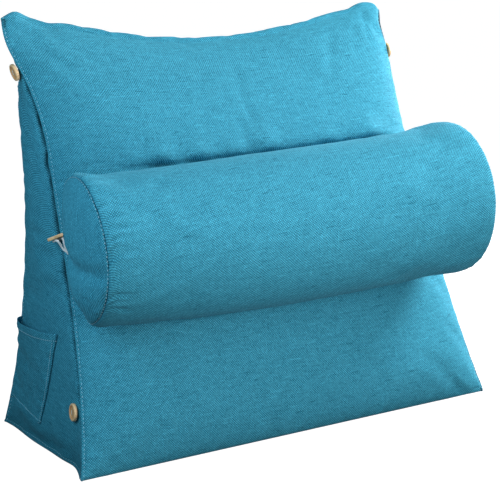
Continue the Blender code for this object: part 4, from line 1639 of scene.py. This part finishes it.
@dataclass
class SidePocket:
    """Patch pocket on the left side panel, its hemmed mouth standing open."""

    form: WedgeForm
    top_z: Pair = (0.1455, 0.1400)
    foot_z: Pair = (0.0260, 0.0360)
    front_y: Pair = (0.0200, -0.0090)
    back_share: float = 0.96
    cloth: float = 0.0011
    hem: float = 0.010
    hem_extra: float = 0.0009
    hem_softness: float = 0.0004
    hem_stitch: float = 0.0012
    stitch_off: float = 0.0001
    stitch_dents: tuple[Pair, ...] = ((0.0005, 0.0008), (0.0004, 0.0009))
    gather: float = 0.0007
    gather_length: float = 0.016
    gather_reach: float = 0.012
    calm: float = 0.004
    mouth: float = 0.013
    flare: float = 1.1
    mouth_swell: Swell = Swell(2.4, 0.6)
    across: Grading = Grading(44, SEAM_ROWS, SEAM_ROWS)
    upward: Grading = Grading(56, SEAM_ROWS, SEAM_ROWS)
    creases: tuple[Crease, ...] = (
        Crease((0.012, 0.082), (0.030, 0.020), 0.0035, 0.0007, 0.002),
        Crease((0.060, 0.075), (0.052, 0.030), 0.0045, 0.0006, -0.003),
    )
    panel: Panel = field(init=False)
    sewn: SewnCloth = field(init=False)

    def _surface(self, back: Array, up: Array) -> Array:
        """Points of the pocket's inner face, before it is laid on the real side panel."""
        form = self.form
        z = between((between(self.foot_z, back), between(self.top_z, back)), up)
        level = z / form.height
        back_y = between((form.seam_y(-1, level), form.seam_y(1, level)), self.back_share)
        y = between((between(self.front_y, up), back_y), back)
        return form.point(-1.0, form.deep_share(y, level), level)

    def _press(self, panel: Panel) -> None:
        """Press the hem, the dents of the stitches, the gathers and the creases into the cloth."""
        (hem_dent, hem_width), (seam_dent, seam_width) = self.stitch_dents
        from_top, _ = panel.from_edge(Edge.TOP)
        panel.lift += self.hem_extra * soft_step(self.hem - from_top, self.hem_softness)
        panel.lift -= hem_dent * dome(from_top - self.hem + self.hem_stitch, hem_width)
        below_mouth = soft_step(from_top - self.calm, self.calm / 4)
        for edge, seed in ((Edge.START, 111), (Edge.FOOT, 121), (Edge.END, 131)):
            away, along = panel.from_edge(edge)
            panel.lift -= seam_dent * dome(away - SEAM_ROWS[3], seam_width)
            wander = self.gather * Waves(seed, self.gather_length).at(along) * below_mouth
            panel.lift += wander * np.exp(-away / self.gather_reach) * (1 - np.exp(-away / self.calm))
        for crease in self.creases:
            crease.press(panel)

    def build(self, cloth: Material, wall: Mesh) -> Piece:
        """Args:
            cloth: Its material.
            wall: The finished mesh of the wedge.

        Returns:
            The pocket's piece.
        """
        back, up = spread_grid(self._surface, self.across, self.upward, 0.0, 1.0, 0.0, 1.0)
        points = self._surface(back, up)
        shell = bmesh.new()
        shell.from_mesh(wall)
        tree = BVHTree.FromBMesh(shell)
        shell.free()
        clear = 2.5 * GAP + self.mouth * self.mouth_swell.at(2 * back - 1) * up ** self.flare
        for row in range(points.shape[0]):
            for column in range(points.shape[1]):
                _, y, z = points[row, column]
                hit, normal, _, _ = tree.ray_cast(Vector((-0.5, y, z)), Vector((1.0, 0.0, 0.0)))
                if hit is not None:
                    points[row, column] = hit + normal * float(clear[row, column])
        self.panel = Panel("pocket", points, self.across, self.upward)
        self._press(self.panel)
        self.sewn = SewnCloth("pocket_patch", [self.panel])
        sheet = self.sewn.mesh
        if sum(normal.vector.x for normal in sheet.polygon_normals) > 0:
            sheet.flip_normals()
        self.sewn.raise_relief()
        body = put("pocket_sheet", sheet.copy())
        thick = body.modifiers.new("Cloth", "SOLIDIFY")
        thick.thickness = self.cloth
        thick.offset = 1.0
        mesh = finished(body)
        piece = add_piece("pocket_patch", mesh, cloth)
        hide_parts("side_pocket")
        return piece

    def stitch_rows(self) -> list[Arrays]:
        """Rows of stitches along the hem, the front edge and the foot."""
        every = slice(None)
        off = self.cloth + self.stitch_off
        from_top, _ = self.panel.from_edge(Edge.TOP)
        hem_row = int(np.argmin(np.abs(from_top.mean(axis=1) - self.hem + self.hem_stitch)))
        where = ((hem_row, every), (slice(0, hem_row), 3), (3, every))
        return [self.sewn.line(0, row, column, off) for row, column in where]


def facing(origin: Vector, outward: Vector, upward: Vector) -> Matrix:
    """Matrix with its own +Z along outward and its own +Y close to upward."""
    z_axis = outward.normalized()
    x_axis = upward.cross(z_axis).normalized()
    y_axis = z_axis.cross(x_axis)
    turn = Matrix((x_axis, y_axis, z_axis)).transposed().to_4x4()
    return Matrix.Translation(origin) @ turn


@dataclass
class WoodButtons:
    """Six turned two-hole buttons, three down each side behind the front seam."""

    form: WedgeForm
    radius: float = 0.0105
    thick: float = 0.0040
    dish_radius: float = 0.0075
    dish_depth: float = 0.0010
    dish_slope: float = 0.0009
    edge: float = 0.0012
    hole_radius: float = 0.0010
    hole_spacing: float = 0.0055
    steps: int = 56
    low: Pair = (0.066, 0.0185)
    top: Pair = (0.447, 0.0100)
    ear_turn_deg: float = 13.0
    ear_stand: float = 0.0025
    mid_z: float = 0.2617
    mid_out: float = 0.0090
    mid_ahead: float = 0.0077
    mid_face: Triple = (0.217, 0.324, 0.921)
    strand_radius: float = 0.00026
    strands: tuple[Pair, ...] = ((-0.00028, 0.0005), (0.00028, 0.0007), (0.0, 0.0009))
    strand_sunk: float = 0.0006
    sharp_deg: float = 42.0
    shanks: dict[str, float] = field(default_factory=lambda: {"low": 0.0016, "mid": 0.0010, "top": 0.0016})

    def flat_place(self, side: Side, z: float, behind: float) -> Matrix:
        """Place of a button that lies on a side panel, behind the front seam."""
        seam_y = float(self.form.seam_y(-1, z / self.form.height))
        here, outward = self.form.side_place(side, seam_y + behind, z)
        stand = 3 * GAP
        if side is Side.LEFT and z > self.form.height / 2:
            outward = Matrix.Rotation(math.radians(self.ear_turn_deg), 3, "Z") @ outward
            stand += self.ear_stand
        return facing(here + outward * stand, outward, Vector((0.0, 0.35, 1.0)))

    def mid_place(self, side: Side) -> Matrix:
        """Place of a middle button, pulled on edge by its loop."""
        up = self.mid_z / self.form.height
        seam = Vector(self.form.point(float(side.value), -1.0, up))
        centre = seam + Vector((side.value * self.mid_out, -self.mid_ahead, self.mid_z - seam.z))
        face = Vector((side.value * self.mid_face[0], self.mid_face[1], self.mid_face[2])).normalized()
        place = facing(centre, face, Vector((0.0, 1.0, 0.0)))
        return place @ Matrix.Translation((0.0, 0.0, -self.thick / 2))

    def _profile(self) -> list[Pair]:
        """Half section from the middle of the dish, over the rim, to the middle of the back."""
        floor = self.thick - self.dish_depth
        section = [(0.0, floor), (self.dish_radius * 0.5, floor)]
        for step in range(7):
            turn = step / 6
            section.append((self.dish_radius + self.dish_slope * (turn - 0.35),
                            floor + self.dish_depth * (3 * turn ** 2 - 2 * turn ** 3)))
        for first, centre in ((1, self.thick - self.edge), (0, self.edge)):
            for step in range(6):
                angle = math.pi / 2 * (first - step / 5)
                section.append((self.radius - self.edge + self.edge * math.cos(angle),
                                centre + self.edge * math.sin(angle)))
        return section + [(0.0, 0.0)]

    def _blank(self) -> Mesh:
        """Turn the section and drill the two holes. The middle of the back is the origin."""
        section = self._profile()
        places = [(0.0, 0.0, section[0][1])]
        for radius, height in section[1:-1]:
            for step in range(self.steps):
                angle = 2 * math.pi * step / self.steps
                places.append((radius * math.cos(angle), radius * math.sin(angle), height))
        places.append((0.0, 0.0, section[-1][1]))
        faces: list[tuple[int, ...]] = []
        last = len(places) - 1
        for step in range(self.steps):
            after = (step + 1) % self.steps
            faces.append((0, 1 + step, 1 + after))
            faces.append((last, last - self.steps + after, last - self.steps + step))
            for base in range(1, last - self.steps, self.steps):
                ahead = base + self.steps
                faces.append((base + step, ahead + step, ahead + after, base + after))
        blank = put("button_blank", new_mesh("button_blank", places, [], faces))
        drills = []
        for side in (-1, 1):
            tool = bmesh.new()
            bmesh.ops.create_cone(tool, cap_ends=True, segments=20, radius1=self.hole_radius,
                                  radius2=self.hole_radius, depth=4 * self.thick)
            middle = (0.0, side * self.hole_spacing / 2, self.thick / 2)
            bmesh.ops.translate(tool, verts=tool.verts, vec=middle)
            drill = put("drill", poured("drill", tool))
            cut = blank.modifiers.new("Hole", "BOOLEAN")
            cut.operation = "DIFFERENCE"
            cut.object = drill
            drills.append(drill)
        drilled = finished(blank)
        for drill in drills:
            bpy.data.objects.remove(drill, do_unlink=True)
        lay_weave(drilled)
        drilled.shade_smooth()
        drilled.set_sharp_from_angle(angle=math.radians(self.sharp_deg))
        return drilled

    def _thread(self, place: Matrix, name: str, thread: Material, shank: float) -> Piece:
        """Strands through the two holes and across the dish, down to the cloth."""
        floor = self.thick - self.dish_depth
        half = self.hole_spacing / 2
        shell = bmesh.new()
        for aside, rise in self.strands:
            leg = [(half, -shank), (half, floor - self.strand_sunk), (half * 0.86, floor + rise * 0.8)]
            route = [(aside, -y, z) for y, z in leg] + [(aside, 0.0, floor + rise)]
            route += [(aside, y, z) for y, z in leg[::-1]]
            knots = np.linspace(0, 1, len(route))
            smooth = smooth_weights(knots, np.linspace(0, 1, 31)) @ np.array(route)
            strand = sweep("strand", smooth, self.strand_radius, 6)
            shell.from_mesh(strand)
            bpy.data.meshes.remove(strand)
        mesh = poured(name, shell)
        mesh.transform(place)
        return add_piece(name, mesh, thread)

    def build(self, wood: Material, thread: Material) -> list[Piece]:
        """Make the six buttons with their sewing thread."""
        blank = self._blank()
        pieces: list[Piece] = []
        for side in Side:
            rows = {"low": self.flat_place(side, *self.low), "mid": self.mid_place(side),
                    "top": self.flat_place(side, *self.top)}
            for row, place in rows.items():
                mesh = blank.copy()
                mesh.transform(place)
                piece = add_piece(f"turned_{side.word}_{row}", mesh, wood)
                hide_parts(f"button_{side.word}_{row}")
                pieces.append(piece)
                pieces.append(self._thread(place, f"thread_{side.word}_{row}", thread, self.shanks[row]))
        bpy.data.meshes.remove(blank)
        return pieces


@dataclass
class ElasticLoops:
    """The two elastic loops, sewn to the bolster and hooked round the middle buttons."""

    roll: RollForm
    buttons: WoodButtons
    radius: float = 0.0014
    eye: float = 0.0048
    sag: float = 0.0012
    eye_rows: tuple[Triple, ...] = ((1.8, 0.75, 1.0), (0.5, 1.0, 0.0), (-0.5, 0.8, 0.0))
    routes: dict[Side, tuple[float, float, float, Triple]] = field(default_factory=lambda: {
        Side.LEFT: (19.0, 0.0070, 0.0041, (-0.2715, -0.0260, 0.2480)),
        Side.RIGHT: (15.0, 0.0050, 0.0024, (0.2560, -0.0270, 0.2540)),
    })

    def _route(self, side: Side) -> list[Vector]:
        """Points of one loop: from the rim, round beneath the middle button, and back."""
        angle_deg, sewn_in, sewn_clear, via = self.routes[side]
        angle = math.radians(angle_deg)
        half = self.roll.length / 2
        share = side.value * (1 - sewn_in / half)
        radius = (self.roll.radius_right if side is Side.RIGHT else self.roll.radius_left) + sewn_clear
        around = Vector((math.sin(angle), math.cos(angle), 0.0))
        sewn = Vector(self.roll.world(np.array(around * radius + Vector((0.0, 0.0, share * half)))))
        rise = Vector((0.0, math.sin(angle), math.cos(angle)))
        place = self.buttons.mid_place(side)
        hub = place.translation
        face = place.to_3x3() @ Vector((0.0, 0.0, 1.0))
        strand = self.radius + GAP
        below = hub - face * strand
        ahead = (sewn - hub) - face * (sewn - hub).dot(face)
        ahead.normalize()
        outward = face.cross(ahead) * side.value
        pairs = [(sewn, rise * strand), (Vector(via), (rise + outward).normalized() * strand * 1.1)]
        for ahead_share, side_share, sag_share in self.eye_rows:
            centre = below + ahead * self.eye * ahead_share - face * self.sag * sag_share
            pairs.append((centre, outward * self.eye * side_share))
        one_leg = [centre + spread for centre, spread in pairs]
        other_leg = [centre - spread for centre, spread in pairs]
        return one_leg + [below - ahead * self.eye] + other_leg[::-1]

    def _smooth_route(self, side: Side, steps: int = 9) -> Array:
        """The loop's own curve through its points, with rounded turns."""
        curve = bpy.data.curves.new("loop_route", "CURVE")
        curve.dimensions = "3D"
        curve.resolution_u = steps
        spline = curve.splines.new("BEZIER")
        route = self._route(side)
        spline.bezier_points.add(len(route) - 1)
        for knot, place in zip(spline.bezier_points, route):
            knot.co = place
            knot.handle_left_type = "AUTO"
            knot.handle_right_type = "AUTO"
        line = finished(put("loop_route", curve))
        return np.array([tuple(vertex.co) for vertex in line.vertices])

    def build(self, elastic: Material) -> list[Piece]:
        """Make both loops."""
        pieces = []
        for side in Side:
            mesh = sweep(f"elastic_{side.word}", self._smooth_route(side), self.radius, 12)
            piece = add_piece(f"elastic_{side.word}", mesh, elastic)
            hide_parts(f"loop_{side.word}")
            pieces.append(piece)
        return pieces


@dataclass(frozen=True)
class SoftLight:
    """A round soft light that points at the middle of the pillow.

    Args:
        name: Name of the light.
        turn_deg: Direction it stands in, from straight ahead of the pillow towards its right.
        rise_deg: How high it stands.
        away: Distance from the middle of the pillow.
        width: Diameter of the light.
        light: Brightness on a surface that faces it.
        tint: Its colour.
    """

    name: str
    turn_deg: float
    rise_deg: float
    away: float
    width: float
    light: float
    tint: Triple = (1.0, 1.0, 1.0)

    def build(self, middle: Vector) -> None:
        """Put the light in the scene."""
        turn, rise = math.radians(self.turn_deg), math.radians(self.rise_deg)
        towards = Vector((math.sin(turn) * math.cos(rise), -math.cos(turn) * math.cos(rise), math.sin(rise)))
        source = bpy.data.lights.new(self.name, "AREA")
        source.shape = "DISK"
        source.size = self.width
        source.energy = 4 * math.pi * self.away ** 2 * self.light
        source.color = self.tint
        lamp = put(self.name, source)
        lamp.location = middle + towards * self.away
        lamp.rotation_euler = towards.to_track_quat("Z", "Y").to_euler()
        lamp.visible_camera = False


@dataclass(frozen=True)
class Studio:
    """Pale floor, soft light and the camera at the photograph's angle."""

    eye: Triple = (-0.92665, -1.47673, 0.61382)
    pitch_deg: float = 12.68
    yaw_deg: float = 32.05
    lens: float = 100.27
    floor_half: float = 30.0
    sky: float = 0.20
    sky_tint: Colour = (0.68, 0.96, 1.05, 1.0)
    middle: Triple = (0.0, -0.02, 0.22)
    lights: tuple[SoftLight, ...] = (
        SoftLight("key", 75.0, 40.0, 1.3, 0.70, 1.08),
        SoftLight("low front", -8.0, 4.0, 0.75, 0.45, 0.34),
        SoftLight("low left", -75.0, 22.0, 0.75, 0.45, 0.22, (0.76, 0.98, 1.12)),
        SoftLight("fill", 20.0, 22.0, 0.75, 0.45, 0.17),
        SoftLight("right rim", 108.0, 14.0, 1.3, 0.50, 0.95),
    )

    def build(self) -> None:
        """Set up camera, lights, world and floor."""
        lens = bpy.data.cameras.new("camera")
        lens.lens = self.lens
        lens.sensor_width = 36.0
        camera = put("camera", lens)
        camera.location = self.eye
        camera.rotation_euler = (math.radians(90 - self.pitch_deg), 0.0, math.radians(-self.yaw_deg))
        bpy.context.scene.camera = camera
        bpy.context.scene.view_settings.view_transform = "Standard"
        for light in self.lights:
            light.build(Vector(self.middle))

        world = bpy.data.worlds.new("studio")
        world.use_nodes = True
        sky = world.node_tree.nodes["Background"]
        sky.inputs["Color"].default_value = self.sky_tint
        sky.inputs["Strength"].default_value = self.sky
        bpy.context.scene.world = world

        half = self.floor_half
        corners = [(-half, -half, 0), (half, -half, 0), (half, half, 0), (-half, half, 0)]
        floor_mesh = new_mesh("floor", corners, [], [(0, 1, 2, 3)])
        floor_mesh.materials.append(FloorFinish().build())
        put("floor", floor_mesh)


def main() -> None:
    """Build the pillow piece by piece."""
    logging.basicConfig(level=logging.INFO, format="%(name)s %(message)s")
    Studio().build()
    linen = LinenFinish("teal_linen").build()
    thread, white, elastic = (StrandFinish(*values).build() for values in (
        ("aqua_thread", (0.34, 0.68, 0.80, 1.0), (0.20, 0.48, 0.60, 1.0), 0.0007, 0.0020, 0.00008),
        ("white_thread", (0.86, 0.85, 0.80, 1.0), (0.55, 0.53, 0.48, 1.0), 0.0006, 0.0016, 0.00006),
        ("white_elastic", (0.88, 0.88, 0.87, 1.0), (0.60, 0.62, 0.64, 1.0), 0.0011, 0.0088, 0.00022),
    ))
    wood = WoodFinish("pale_wood").build()

    wedge_form = WedgeForm()
    roll_form = RollForm(wedge_form.lean)
    wedge = WedgeCushion(wedge_form, roll_form)
    bolster = Bolster(roll_form)
    pocket = SidePocket(wedge_form)
    buttons = WoodButtons(wedge_form)
    cover = wedge.build(linen)
    pieces = [cover, bolster.build(linen), pocket.build(linen, cover.data)]
    pieces += buttons.build(wood, white) + ElasticLoops(roll_form, buttons).build(elastic)
    sewing, fine_sewing = Stitching(), Stitching(pitch=0.0029, length=0.0022, seed=9)
    pieces += [sewing.lay("stitches_wedge", wedge.stitch_rows(), thread, "wedge_cloth"),
               sewing.lay("stitches_bolster", bolster.stitch_rows(), thread, "bolster_cloth"),
               fine_sewing.lay("stitches_pocket", pocket.stitch_rows(), thread, "pocket_cloth")]
    for piece in pieces:
        triangles = sum(len(face.vertices) - 2 for face in piece.data.polygons)
        LOG.info("%s: %d triangles", piece.name, triangles)


if __name__ == "__main__":
    main()
